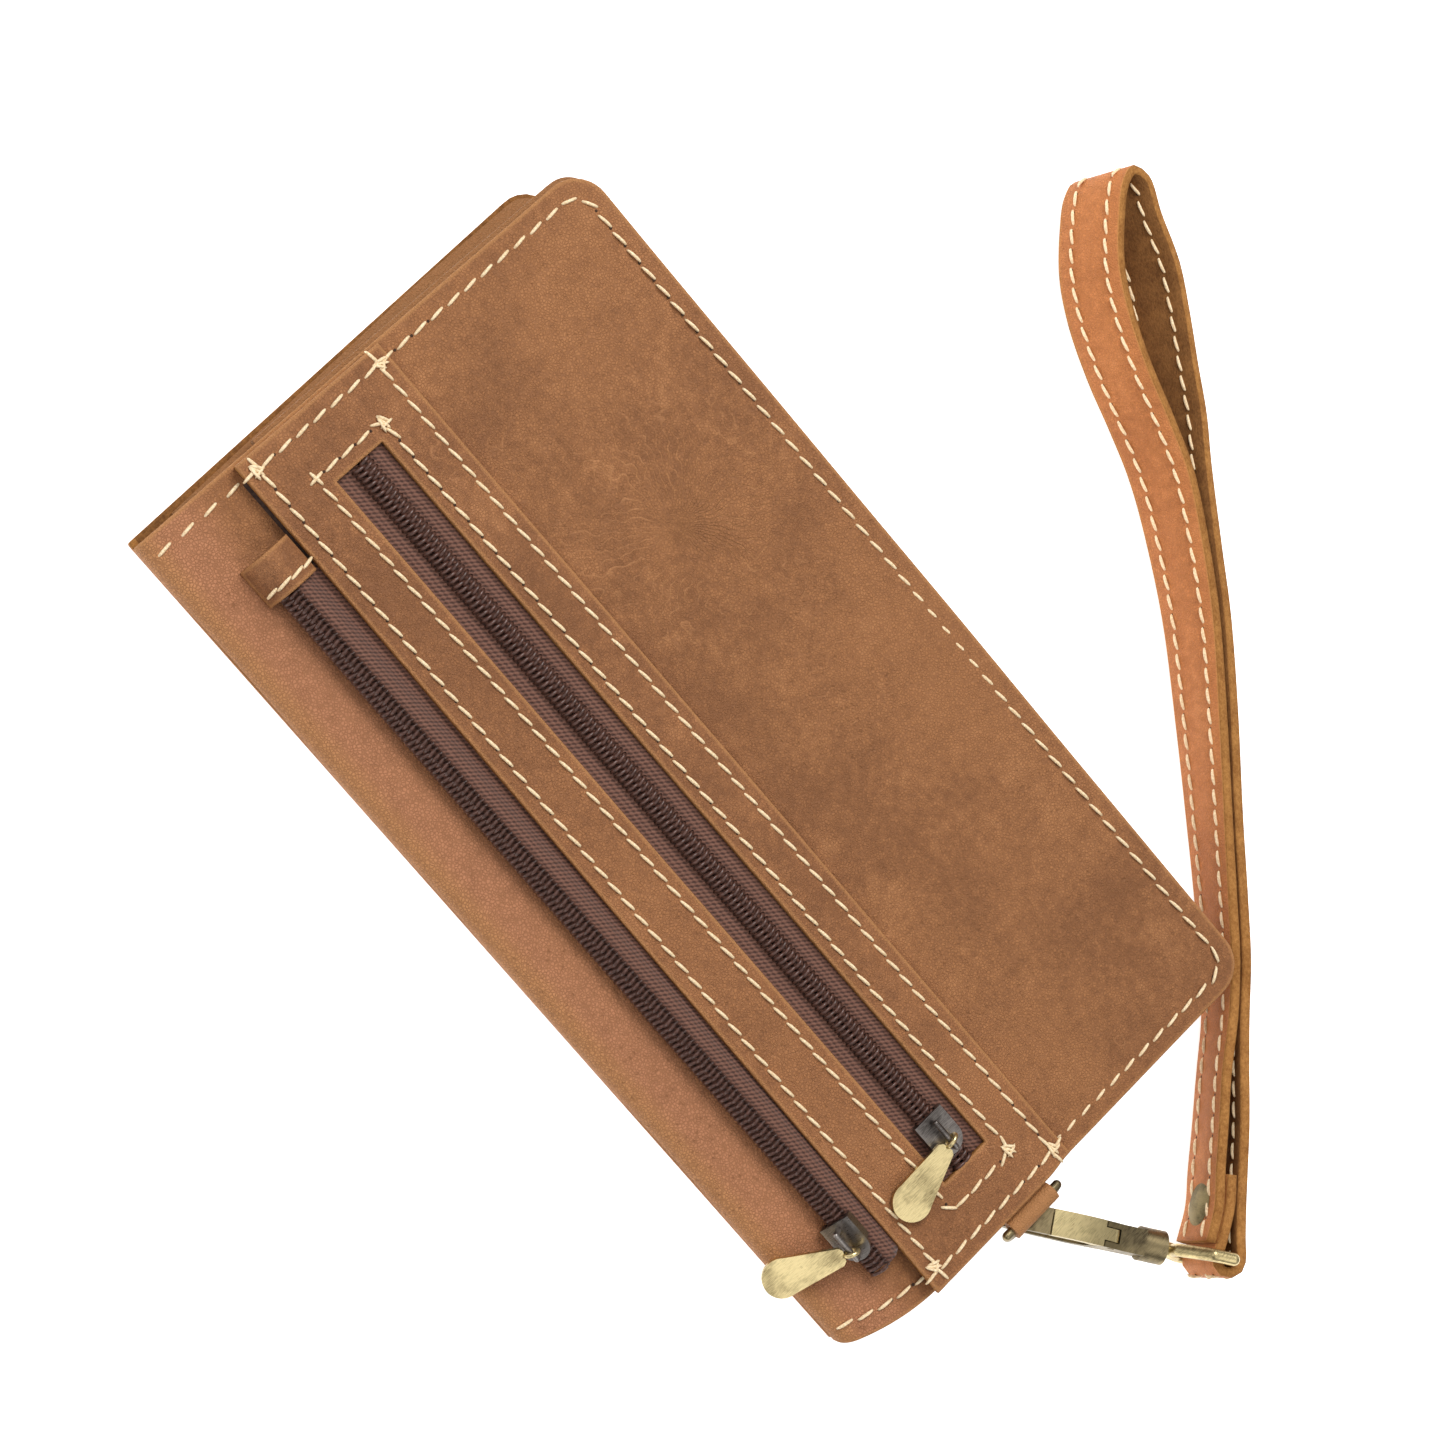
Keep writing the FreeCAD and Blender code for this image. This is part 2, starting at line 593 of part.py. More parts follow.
def on_clasp(shape):
    """Carry a shape drawn in (S, B, H) to the clasp's place."""
    a, b, h = clasp_axes()
    o = clasp_origin()
    matrix = FreeCAD.Matrix(
        a.x, b.x, h.x, o.x, a.y, b.y, h.y, o.y, a.z, b.z, h.z, o.z, 0, 0, 0, 1)
    moved = shape.copy()
    moved.Placement = FreeCAD.Placement(matrix).multiply(moved.Placement)
    return moved


def mirrored_blank(profile, width, back):
    """A plate of the given width from a smooth half profile (s, h), mirrored about the axis."""
    upper = [V(s, 0, h) for s, h in profile]
    lower = [V(s, 0, -h) for s, h in profile[1:]]
    curve = Part.BSplineCurve()
    curve.interpolate(lower[::-1] + upper)
    edges = [curve.toShape()]
    if back is not None:
        ends = [upper[-1], V(back, 0, profile[-1][1]), V(back, 0, -profile[-1][1]), lower[-1]]
        edges += [Part.LineSegment(a, b).toShape() for a, b in zip(ends, ends[1:])]
    else:
        edges.append(Part.LineSegment(upper[-1], lower[-1]).toShape())
    face = Part.Face(Part.Wire(Part.__sortEdges__(edges)))
    face.translate(V(0, -width / 2.0, 0))
    return face.extrude(V(0, width, 0))


def wedge(low_angle, width, reach):
    """The fan over the gate's pivot, from straight above the axis down past its inner side."""
    s, h = GATE_PIVOT
    a = math.radians(low_angle)
    points = [
        V(s, 0, h), V(s - reach * math.cos(a), 0, h - reach * math.sin(a)),
        V(s - reach - 4.0, 0, 9.0), V(s, 0, 9.0)]
    face = Part.Face(Part.makePolygon(points + points[:1]))
    face.translate(V(0, -width / 2.0, 0))
    return face.extrude(V(0, width, 0))


def knuckle(radius, width):
    """A disc about the gate's pivot."""
    s, h = GATE_PIVOT
    return cylinder((s, -width / 2.0, h), (s, width / 2.0, h), radius)


def gate_span(width, start, low_angle):
    """The part of the hook's upper side that the gate takes up, from its nose end."""
    zone = wedge(low_angle, width, 20.0)
    return zone.cut(box((-9.0, start), (-9.0, 9.0), (-9.0, 9.9)))


def snap_hook_body():
    """Back, nose, shank and the barrel in which the swivel's headed pin turns."""
    wide = HOOK_WIDTH + 1.0
    body = mirrored_blank(HOOK_OUTLINE, HOOK_WIDTH, BARREL[0] + 0.2)
    body = body.cut(mirrored_blank(HOOK_MOUTH, wide, None))
    fan = gate_span(wide, GATE_START - 0.3, GATE_REST_ANGLE + GATE_TRAVEL + 1.5)
    fan = fan.cut(box((-9.0, 30.0), (-9.0, 9.0), (-20.0, -1.0)))
    body = body.cut(fan.cut(knuckle(CHEEK_R, wide)))
    slot = TONGUE_WIDTH + 0.4
    thin = gate_span(slot, GATE_START, GATE_REST_ANGLE + GATE_TRAVEL + 4.0)
    body = body.cut(thin.common(knuckle(CHEEK_R + 0.6, slot))).cut(knuckle(KNUCKLE_R + 0.25, slot))
    body = body.cut(knuckle(GATE_PIN_R, wide))
    barrel = cylinder((BARREL[0], 0, 0), (BARREL[1], 0, 0), BARREL_R)
    body = body.fuse(barrel)
    bore = cylinder((SWIVEL_HEAD[0], 0, 0), (BARREL[1] + 1.0, 0, 0), SWIVEL_PIN_R + FIT)
    chamber = cylinder((SWIVEL_HEAD[0] - 0.2, 0, 0), (SWIVEL_HEAD[1] + 0.2, 0, 0),
                       SWIVEL_HEAD_R + 0.1)
    return body.cut(bore).cut(chamber).removeSplitter()


def hook_gate():
    """The sprung gate: a bar closing the hook's upper side, with a narrow tongue at its pin."""
    blank = mirrored_blank(HOOK_OUTLINE, HOOK_WIDTH, BARREL[0])
    bar = blank.common(gate_span(HOOK_WIDTH, GATE_START, GATE_REST_ANGLE))
    bar = bar.cut(mirrored_blank(HOOK_MOUTH, HOOK_WIDTH, None)).cut(knuckle(CHEEK_R + 0.3, 9.0))
    tongue = blank.common(gate_span(TONGUE_WIDTH, GATE_START, GATE_REST_ANGLE))
    tongue = tongue.common(knuckle(CHEEK_R + 0.5, TONGUE_WIDTH))
    gate = bar.fuse([tongue, knuckle(KNUCKLE_R, TONGUE_WIDTH)])
    spring_room = knuckle(SPRING_R + 0.15, TONGUE_WIDTH + 1.0)
    half = box((0.0, 30.0), (SPRING_B[0] - 0.15, 4.0), (-9.0, 9.0))
    gate = gate.cut(spring_room.common(half))
    return gate.cut(knuckle(GATE_PIN_R + FIT, HOOK_WIDTH)).removeSplitter()


def gate_pin():
    """The gate's pin, pressed through both cheeks of the hook."""
    return knuckle(GATE_PIN_R, HOOK_WIDTH + 0.2)


def gate_spring():
    """Small torsion spring on the gate's pin, beside the tongue."""
    s, h = GATE_PIVOT
    start, end = SPRING_B
    coil = Part.makeCylinder(SPRING_R, end - start, V(s, start, h), V(0, 1, 0))
    bore = Part.makeCylinder(GATE_PIN_R + 0.02, end - start, V(s, start, h), V(0, 1, 0))
    return coil.cut(bore)


def swivel_eye():
    """Wire eye with parallel arms and a straight far bar, and the headed pin that turns."""
    half, near_half = EYE_HALF, EYE_NEAR_HALF
    corners = [
        (EYE_NEAR, near_half), (EYE_SHOULDER, half), (EYE_FAR, half),
        (EYE_FAR, -half), (EYE_SHOULDER, -half), (EYE_NEAR, -near_half)]
    pieces = []
    for (s0, h0), (s1, h1) in zip(corners, corners[1:] + corners[:1]):
        pieces.append(cylinder((s0, 0, h0), (s1, 0, h1), EYE_WIRE_R))
        pieces.append(Part.makeSphere(EYE_WIRE_R, V(s0, 0, h0)))
    pieces.append(cylinder((SWIVEL_HEAD[0], 0, 0), (EYE_NEAR, 0, 0), SWIVEL_PIN_R))
    head = cylinder((SWIVEL_HEAD[0], 0, 0), (SWIVEL_HEAD[1], 0, 0), SWIVEL_HEAD_R)
    return head.fuse(pieces).removeSplitter()


# ---- wrist strap
def strap_plan(d, n):
    """Plan place of a point given along and across the strap's direction."""
    dx, dy = STRAP_DIR
    return V(d * dx + n * dy, d * dy - n * dx, 0)


def eye_bar():
    """The middle of the eye's far bar, as (d, n, z)."""
    along, _, _ = clasp_axes()
    p = clasp_origin() + along * EYE_FAR
    dx, dy = STRAP_DIR
    return p.x * dx + p.y * dy, p.x * dy - p.y * dx, p.z


def between(table, d):
    """Value at d of a table of (d, value), straight between its entries."""
    if d <= table[0][0]:
        return table[0][1]
    for (d0, a), (d1, b) in zip(table, table[1:]):
        if d <= d1:
            return a + (b - a) * (d - d0) / (d1 - d0)
    return table[-1][1]


def strap_centre_points():
    """The strap's middle line (d, n): near half, tip, far half, wrap and tucked end."""
    bar_d, bar_n, _ = eye_bar()
    r = EYE_WIRE_R + STRAP_BAR_GAP + STRAP_THICK / 2.0
    wrap = []
    for angle in WRAP_ANGLES:
        a = math.radians(angle)
        wrap.append((bar_d + r * math.cos(a), bar_n + r * math.sin(a)))
    return STRAP_NEAR + STRAP_TIP + STRAP_FAR + wrap + STRAP_TUCK


def strap_width_axis(d):
    """Unit vector across the strap's width at d: upright, leaning as the leather leans."""
    _, _, up = clasp_axes()
    lean = math.asin(between(STRAP_LEAN, d) / STRAP_WIDTH)
    dx, dy = STRAP_DIR
    free = V(dy * math.sin(lean), -dx * math.sin(lean), math.cos(lean))
    share = min(max((d - STRAP_CLASP_D) / (STRAP_FREE_D - STRAP_CLASP_D), 0.0), 1.0)
    axis = up * (1.0 - share) + free * share
    axis.normalize()
    return axis


def clasp_plane_height(place):
    """Height over a plan point of the plane through the eye's bar, square to its width."""
    _, _, up = clasp_axes()
    bar = clasp_origin() + clasp_axes()[0] * EYE_FAR
    return bar.z - (up.x * (place.x - bar.x) + up.y * (place.y - bar.y)) / up.z


def strap_lift(d):
    """How far the strap follows the clasp rather than the table: 0 on the table, 1 at the bar."""
    share = min(max((d - STRAP_FLAT_D) / (STRAP_CLASP_D - STRAP_FLAT_D), 0.0), 1.0)
    return share * share * (3.0 - 2.0 * share)


def strap_place(d, n):
    """Centre of the strap's section whose middle line passes (d, n)."""
    axis = strap_width_axis(d)
    place = strap_plan(d, n)
    tilt = math.sqrt(max(1.0 - axis.z ** 2, 0.0))
    lying = STRAP_FLOOR_GAP + STRAP_WIDTH / 2.0 * axis.z + STRAP_THICK / 2.0 * tilt
    share = strap_lift(d)
    place.z = lying * (1.0 - share) + clasp_plane_height(place) * share
    return place, axis


def thinned(points):
    """Keep the points that are a step apart or where the line has turned enough."""
    kept = [0]
    for i in range(1, len(points) - 1):
        run = points[i] - points[i - 1]
        held = points[kept[-1] + 1] - points[kept[-1]]
        turn = math.degrees(run.getAngle(held))
        if turn > STRAP_TURN or (points[i] - points[kept[-1]]).Length > STRAP_STEP:
            kept.append(i)
    return [points[i] for i in kept] + [points[-1]]


def strap_sections():
    """Corner points of every section along the strap's middle line."""
    line = Part.BSplineCurve()
    line.interpolate([V(d, n, 0) for d, n in strap_centre_points()])
    stations = thinned(line.discretize(Number=STRAP_FINE))
    sections = []
    for i, p in enumerate(stations):
        before = stations[max(i - 1, 0)]
        after = stations[min(i + 1, len(stations) - 1)]
        run = strap_plan(after.x, after.y) - strap_plan(before.x, before.y)
        centre, axis = strap_place(p.x, p.y)
        out = run.cross(axis)
        out.normalize()
        half_t, half_w = out * (STRAP_THICK / 2.0), axis * (STRAP_WIDTH / 2.0)
        sections.append([
            centre + half_t + half_w, centre - half_t + half_w,
            centre - half_t - half_w, centre + half_t - half_w])
    return sections


def wrist_strap():
    """One long leather strip: ruled faces from section to section, closed at both ends."""
    sections = strap_sections()
    faces = []
    for one, two in zip(sections, sections[1:]):
        for i in range(4):
            j = (i + 1) % 4
            first = Part.LineSegment(one[i], one[j]).toShape()
            second = Part.LineSegment(two[i], two[j]).toShape()
            faces.append(Part.makeRuledSurface(first, second))
    for ring in (sections[0], sections[-1]):
        faces.append(Part.Face(Part.makePolygon(ring + ring[:1])))
    shell = Part.makeShell(faces)
    shell.sewShape()
    strip = Part.makeSolid(shell)
    if strip.Volume < 0:
        strip.reverse()
    start, along, length = rivet_axis()
    strip = strip.cut(Part.makeCylinder(RIVET_R + FIT, length + 6.0, start - along * 3.0, along))
    return strip.cut(strap_rivet_cap()).cut(strap_rivet_base())


def rivet_axis():
    """Start, direction and length of the rivet's post, from the near face to the far face."""
    near, axis = strap_place(*RIVET_NEAR)
    far, _ = strap_place(*RIVET_FAR)
    along = far - near
    length = along.Length
    along.normalize()
    half = STRAP_THICK / 2.0
    return near - along * half, along, length + STRAP_THICK


def strap_rivet_cap():
    """Domed cap on the near face, with the post through all the layers."""
    start, along, length = rivet_axis()
    post = Part.makeCylinder(RIVET_R, length + 0.55, start - along * 0.4, along)
    ball = Part.makeSphere(RIVET_DOME_R, start + along * (RIVET_DOME_R - RIVET_RISE))
    disc = Part.makeCylinder(RIVET_HEAD_R, 2.0, start - along * 2.15, along)
    return post.fuse(ball.common(disc)).removeSplitter()


def strap_rivet_base():
    """Flat base of the rivet on the far face."""
    start, along, length = rivet_axis()
    return Part.makeCylinder(RIVET_HEAD_R, 0.8, start + along * (length + 0.15), along)


NODES = {
    "back_cover": back_cover,
    "back_inner_panel": back_lining,
    "card_pocket_upper": lambda: back_pocket("upper"),
    "card_pocket_middle": lambda: back_pocket("middle"),
    "card_pocket_lower": lambda: back_pocket("lower"),
    "spine_leather": spine,
    "front_cover": front_cover,
    "front_inner_panel": front_inner_panel,
    "note_pocket_panel": note_pocket,
    "pocket_band": pocket_band,
    "window_pocket_lining": window_lining,
    "window_tape_upper": lambda: window_tape(1),
    "window_tape_lower": lambda: window_tape(-1),
    "window_coil_upper": lambda: window_coil(1),
    "window_coil_lower": lambda: window_coil(-1),
    "lower_pocket_lining": lower_lining,
    "lower_tape_upper": lower_tape_upper,
    "lower_tape_lower": lower_tape_lower,
    "lower_coil_upper": lambda: lip_place(half_coil(LOWER_X, 1)),
    "lower_coil_lower": lambda: lip_place(half_coil(LOWER_X, -1)),
    "zip_end_tab": end_tab,
    "window_slider": window_slider,
    "window_pull": window_pull,
    "lower_slider": lower_slider,
    "lower_pull": lower_pull,
    "d_ring_tab": d_ring_tab,
    "d_ring": d_ring,
    "snap_hook_body": lambda: on_clasp(snap_hook_body()),
    "hook_gate": lambda: on_clasp(hook_gate()),
    "gate_pin": lambda: on_clasp(gate_pin()),
    "gate_spring": lambda: on_clasp(gate_spring()),
    "swivel_eye": lambda: on_clasp(swivel_eye()),
    "wrist_strap": wrist_strap,
    "strap_rivet_cap": strap_rivet_cap,
    "strap_rivet_base": strap_rivet_base,
}


def main():
    """Build every node and write its STEP file."""
    os.makedirs("parts", exist_ok=True)
    for name, build in NODES.items():
        shape = build()
        print("%-22s %9.1f mm3, %d solid" % (name, shape.Volume, len(shape.Solids)))
        shape.exportStep("parts/%s.step" % name)


main()
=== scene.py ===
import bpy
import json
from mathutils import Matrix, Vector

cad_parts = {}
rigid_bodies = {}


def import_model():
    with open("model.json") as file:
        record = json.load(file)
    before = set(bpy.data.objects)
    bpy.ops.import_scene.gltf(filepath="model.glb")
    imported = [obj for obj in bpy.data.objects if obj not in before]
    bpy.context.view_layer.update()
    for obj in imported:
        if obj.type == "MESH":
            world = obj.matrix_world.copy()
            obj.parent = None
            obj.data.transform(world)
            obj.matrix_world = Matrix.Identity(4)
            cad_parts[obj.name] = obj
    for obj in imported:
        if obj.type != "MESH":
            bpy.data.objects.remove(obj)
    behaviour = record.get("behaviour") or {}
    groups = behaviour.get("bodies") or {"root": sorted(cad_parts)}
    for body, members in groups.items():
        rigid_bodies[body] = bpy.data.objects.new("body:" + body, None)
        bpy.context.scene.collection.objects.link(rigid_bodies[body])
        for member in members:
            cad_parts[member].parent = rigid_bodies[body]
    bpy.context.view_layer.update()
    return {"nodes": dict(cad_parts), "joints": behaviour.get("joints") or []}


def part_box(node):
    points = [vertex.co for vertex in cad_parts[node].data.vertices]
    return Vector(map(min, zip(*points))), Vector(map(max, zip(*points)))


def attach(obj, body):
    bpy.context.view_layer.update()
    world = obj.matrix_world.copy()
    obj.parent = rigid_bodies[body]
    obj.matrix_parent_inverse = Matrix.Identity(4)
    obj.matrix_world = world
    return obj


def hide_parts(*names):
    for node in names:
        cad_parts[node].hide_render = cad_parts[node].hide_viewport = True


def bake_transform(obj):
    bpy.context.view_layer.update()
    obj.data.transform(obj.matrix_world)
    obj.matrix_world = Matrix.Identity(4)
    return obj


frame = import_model()

# Visual model of a long bifold clutch wallet with a wrist strap.
#
# Lengths inside the classes are in millimetres and turn into metres when a mesh is made.
# X runs along the wallet towards the strap, Y from the spine to the free edge, Z up.
import json
import logging
import math
from dataclasses import dataclass, field
from enum import Enum
from typing import Callable, Optional, Sequence, Union

import bmesh
import bpy
from mathutils import Matrix, Vector

LOG = logging.getLogger("wallet")
MM = 0.001
Number = Union[int, float]


# --------------------------------------------------------------------------- shader maths
class Wire:
    """A value in a node tree: a socket, with arithmetic that adds Math nodes."""

    def __init__(self, graph: "Graph", socket: bpy.types.NodeSocket) -> None:
        """Hold an output socket and the graph that it belongs to."""
        self.graph = graph
        self.socket = socket

    def _math(self, operation: str, *values: Union["Wire", Number]) -> "Wire":
        """Add a Math node."""
        return self.graph.add("ShaderNodeMath", {"operation": operation}, dict(enumerate(values)))

    def __add__(self, other: Union["Wire", Number]) -> "Wire":
        """self + other."""
        return self._math("ADD", self, other)

    def __radd__(self, other: Number) -> "Wire":
        """other + self."""
        return self._math("ADD", other, self)

    def __sub__(self, other: Union["Wire", Number]) -> "Wire":
        """self - other."""
        return self._math("SUBTRACT", self, other)

    def __rsub__(self, other: Number) -> "Wire":
        """other - self."""
        return self._math("SUBTRACT", other, self)

    def __mul__(self, other: Union["Wire", Number]) -> "Wire":
        """self * other."""
        return self._math("MULTIPLY", self, other)

    def __rmul__(self, other: Number) -> "Wire":
        """other * self."""
        return self._math("MULTIPLY", other, self)

    def __mod__(self, other: Union["Wire", Number]) -> "Wire":
        """The remainder of self over other, never below 0."""
        return self._math("FLOORED_MODULO", self, other)

    def root(self) -> "Wire":
        """The square root."""
        return self._math("SQRT", self)

    def angle(self, across: "Wire") -> "Wire":
        """The angle of the point (self, across), in radians."""
        return self._math("ARCTAN2", across, self)

    def ramp(self, low: Number, high: Number) -> "Wire":
        """Map low..high to 0..1, clamped and smooth.

        Args:
            low: the value that gives 0.
            high: the value that gives 1.

        Returns:
            The mapped value.
        """
        settings = {"interpolation_type": "SMOOTHSTEP"}
        return self.graph.add("ShaderNodeMapRange", settings, {0: self, 1: low, 2: high})


class Graph:
    """A node tree with one method that adds any node."""

    def __init__(self, tree: bpy.types.NodeTree) -> None:
        """Work in the given tree."""
        self.tree = tree

    def add(self, kind: str, settings: Optional[dict] = None, values: Optional[dict] = None,
            out: Union[int, str] = 0) -> Wire:
        """Add a node.

        Args:
            kind: the node's type name.
            settings: attributes of the node, set first.
            values: number, colour or Wire for each input, by name or index.
            out: which output to return.

        Returns:
            The chosen output.
        """
        node = self.tree.nodes.new(kind)
        for name, value in (settings or {}).items():
            setattr(node, name, value)
        for key, value in (values or {}).items():
            if isinstance(value, Wire):
                self.tree.links.new(value.socket, node.inputs[key])
            else:
                node.inputs[key].default_value = value
        return Wire(self, node.outputs[out])

    def mix(self, share: Union[Wire, Number], first: object, second: object) -> Wire:
        """Mix two colours.

        Args:
            share: 0 gives the first colour, 1 the second.
            first: colour or Wire.
            second: colour or Wire.

        Returns:
            The mixed colour.
        """
        pair = [tuple(c) + (1.0,) if isinstance(c, (tuple, list)) and len(c) == 3 else c
                for c in (first, second)]
        return self.add("ShaderNodeMix", {"data_type": "RGBA"},
                        {0: share, 6: pair[0], 7: pair[1]}, out=2)

    def noise(self, where: Wire, scale: Number, detail: Number = 3.0,
              rough: Number = 0.55) -> Wire:
        """Fractal noise of a place."""
        values = {"Vector": where, "Scale": scale, "Detail": detail, "Roughness": rough}
        return self.add("ShaderNodeTexNoise", None, values)

    def cells(self, where: Wire, scale: Number, feature: str = "F1") -> Wire:
        """Voronoi distance of a place."""
        return self.add("ShaderNodeTexVoronoi", {"feature": feature},
                        {"Vector": where, "Scale": scale}, out="Distance")

    def stretch(self, where: Wire, factors: Sequence[float]) -> Wire:
        """Scale a place along each axis."""
        return self.add("ShaderNodeVectorMath", {"operation": "MULTIPLY"},
                        {0: where, 1: tuple(factors)})

    def place(self) -> Wire:
        """The piece's own coordinates, in millimetres."""
        where = self.add("ShaderNodeTexCoord", None, None, out="Object")
        return self.stretch(where, (1000.0, 1000.0, 1000.0))

    def split(self, vector: Wire, axis: str) -> Wire:
        """One component of a vector."""
        return self.add("ShaderNodeSeparateXYZ", None, {"Vector": vector}, out=axis)

    def attribute(self, name: str) -> Wire:
        """A float attribute of the mesh."""
        return self.add("ShaderNodeAttribute", {"attribute_name": name}, None, out="Fac")


class Surface:
    """A material with a Principled shader, filled in by a finish."""

    def __init__(self, name: str) -> None:
        """Make an empty material.

        Args:
            name: the material's name.
        """
        self.material = bpy.data.materials.new(name)
        self.material.use_nodes = True
        tree = self.material.node_tree
        self.shader = next(n for n in tree.nodes if n.type == "BSDF_PRINCIPLED")
        self.graph = Graph(tree)

    def set(self, **values: object) -> None:
        """Set or link shader inputs.

        Args:
            values: a number, colour or Wire for each input, with underscores for spaces.
        """
        for key, value in values.items():
            socket = self.shader.inputs[key.replace("_", " ")]
            if isinstance(value, Wire):
                self.graph.tree.links.new(value.socket, socket)
            elif isinstance(value, (tuple, list)) and len(value) == 3 and socket.type == "RGBA":
                socket.default_value = tuple(value) + (1.0,)
            else:
                socket.default_value = value

    def bump(self, height: Wire, distance: float, strength: float = 1.0) -> None:
        """Drive the normal with a height.

        Args:
            height: the height, in units of the distance.
            distance: the height of 1, in millimetres.
            strength: share of the effect.
        """
        normal = self.graph.add("ShaderNodeBump", None, {
            "Height": height, "Distance": distance * MM, "Strength": strength})
        self.set(Normal=normal)


Colour = tuple[float, float, float]
Flat = tuple[float, float]
Line = tuple[list[Vector], list[Vector]]


@dataclass(frozen=True)
class LeatherFinish:
    """Waxed pull-up leather: mottled colour, pores, fine creases and worn edges."""

    name: str
    dark: Colour
    base: Colour
    light: Colour
    edge: Colour
    roughness: float = 0.56
    pores: float = 1.0
    creases: float = 1.0
    # painted light: a paler strip where the cover curves towards the spine, and a painted highlight
    # on the spine's rolled rim
    lit_strip_colour: Colour = (0.52, 0.225, 0.115)
    rim_highlight: Colour = (0.50, 0.235, 0.085)
    lit_strip_share: float = 0.0
    lit_strip_from: float = -37.0
    rim_highlight_fade: tuple[float, float] = (-49.0, -53.0)
    wrinkle_at: tuple[float, float] = (-38.0, 24.0)
    wrinkle_share: float = 0.0
    wrinkle_rays: int = 44

    def wrinkles(self, g: Graph, p: Wire) -> Wire:
        """Creases that fan out from one point of the hide.

        Args:
            g: the material's graph.
            p: place in millimetres.

        Returns:
            0 on smooth leather to 1 on a crease.
        """
        x, y = g.split(p, "X") - self.wrinkle_at[0], g.split(p, "Y") - self.wrinkle_at[1]
        reach = (x * x + y * y).root()
        bend = g.noise(p, 0.06, 3.0, 0.6)
        fan = x.angle(y) * (self.wrinkle_rays / (2.0 * math.pi)) + bend * 11.0
        thin = (fan % 1.0).ramp(0.20, 0.02)
        near = reach.ramp(40.0, 4.0) * g.noise(p, 0.12, 2.0, 0.5).ramp(0.34, 0.54)
        return thin * near

    def pore(self, g: Graph, p: Wire) -> Wire:
        """Pores in patches, more of them towards the ring's end.

        Args:
            g: the material's graph.
            p: place in millimetres.

        Returns:
            0 between pores to 1 in one.
        """
        side = g.split(p, "X").ramp(-60.0, 60.0) * 0.16
        where = (g.noise(p, 0.05, 2.0, 0.5) + side).ramp(0.50, 0.68)
        return g.cells(p, 0.60).ramp(0.32, 0.05) * where * self.pores

    def crease(self, g: Graph, p: Wire) -> Wire:
        """Fine wandering creases, in patches.

        Args:
            g: the material's graph.
            p: place in millimetres.

        Returns:
            0 beside a crease to 1 on one.
        """
        wander = g.add("ShaderNodeTexNoise", None, {"Vector": p, "Scale": 0.10, "Detail": 2.0},
                       out="Color")
        place = g.add("ShaderNodeVectorMath", {"operation": "ADD"},
                      {0: p, 1: g.stretch(wander, (9.0, 9.0, 9.0))})
        thin = g.cells(place, 0.21, "DISTANCE_TO_EDGE").ramp(0.022, 0.0)
        return thin * g.noise(p, 0.035, 2.0, 0.5).ramp(0.50, 0.66) * self.creases

    def paint_spine_light(self, g: Graph, p: Wire, cloud: Wire, patch: Wire, colour: Wire) -> Wire:
        """Painted light along the spine's side: paler leather where the cover curves towards the
        spine, and a painted highlight on its rolled rim.

        Args:
            g: the material's graph.
            p: place in millimetres.
            cloud: the broad mottling.
            patch: the finer mottling.
            colour: the colour so far.

        Returns:
            The new colour.
        """
        # painted light: paler leather below the lower zip, for the light on the cover as it curves
        # towards the spine
        low = g.split(p, "Y") + cloud * 6.0
        share = low.ramp(self.lit_strip_from + 3.0, self.lit_strip_from - 5.0) * self.lit_strip_share
        colour = g.mix(share * (0.35 + patch * 0.9), colour, self.lit_strip_colour)
        # painted highlight on the spine's rolled rim
        return g.mix(g.split(p, "Y").ramp(*self.rim_highlight_fade) * 0.7, colour, self.rim_highlight)

    def build(self) -> bpy.types.Material:
        """Make the material.

        Returns:
            The material.
        """
        surface = Surface(self.name)
        g = surface.graph
        p = g.place()
        broad = g.noise(p, 0.020, 2.0, 0.5)
        cloud = g.noise(p, 0.085, 4.0, 0.6)
        patch = g.noise(p, 0.50, 4.0, 0.62)
        fine = g.noise(p, 2.1, 4.0, 0.7)
        grain = g.cells(p, 1.75, "DISTANCE_TO_EDGE").ramp(0.0, 0.24)
        pore, crease = self.pore(g, p), self.crease(g, p)
        tone = (broad * 0.5 + cloud * 0.4 + patch * 0.5 + fine * 0.55).ramp(0.78, 1.14)
        colour = g.mix(tone, self.dark, self.base)
        colour = g.mix((cloud * 0.6 + patch * 0.4).ramp(0.52, 0.72) * 0.45, colour, self.light)
        # painted light along the spine: the pale strip and the rim highlight
        if self.lit_strip_share:
            colour = self.paint_spine_light(g, p, cloud, patch, colour)
        colour = g.mix(pore * 0.42, colour, self.dark)
        colour = g.mix((1.0 - grain) * 0.55, colour, self.dark)
        colour = g.mix(crease * 0.35, colour, self.light)
        height = grain * 0.60 + fine * 0.60 - pore * 0.9 - crease * 0.4
        if self.wrinkle_share:
            fold = self.wrinkles(g, p) * self.wrinkle_share
            colour = g.mix(fold * 0.75, colour, self.light)
            height = height - fold * 1.2
        worn = g.attribute("edge").ramp(1.0, 0.2) * (0.5 + fine * 0.6)
        surface.bump(height, 0.16, 0.9)
        surface.set(Base_Color=g.mix(worn, colour, self.edge),
                    Roughness=self.roughness + fine * 0.12, Specular_IOR_Level=0.24)
        return surface.material


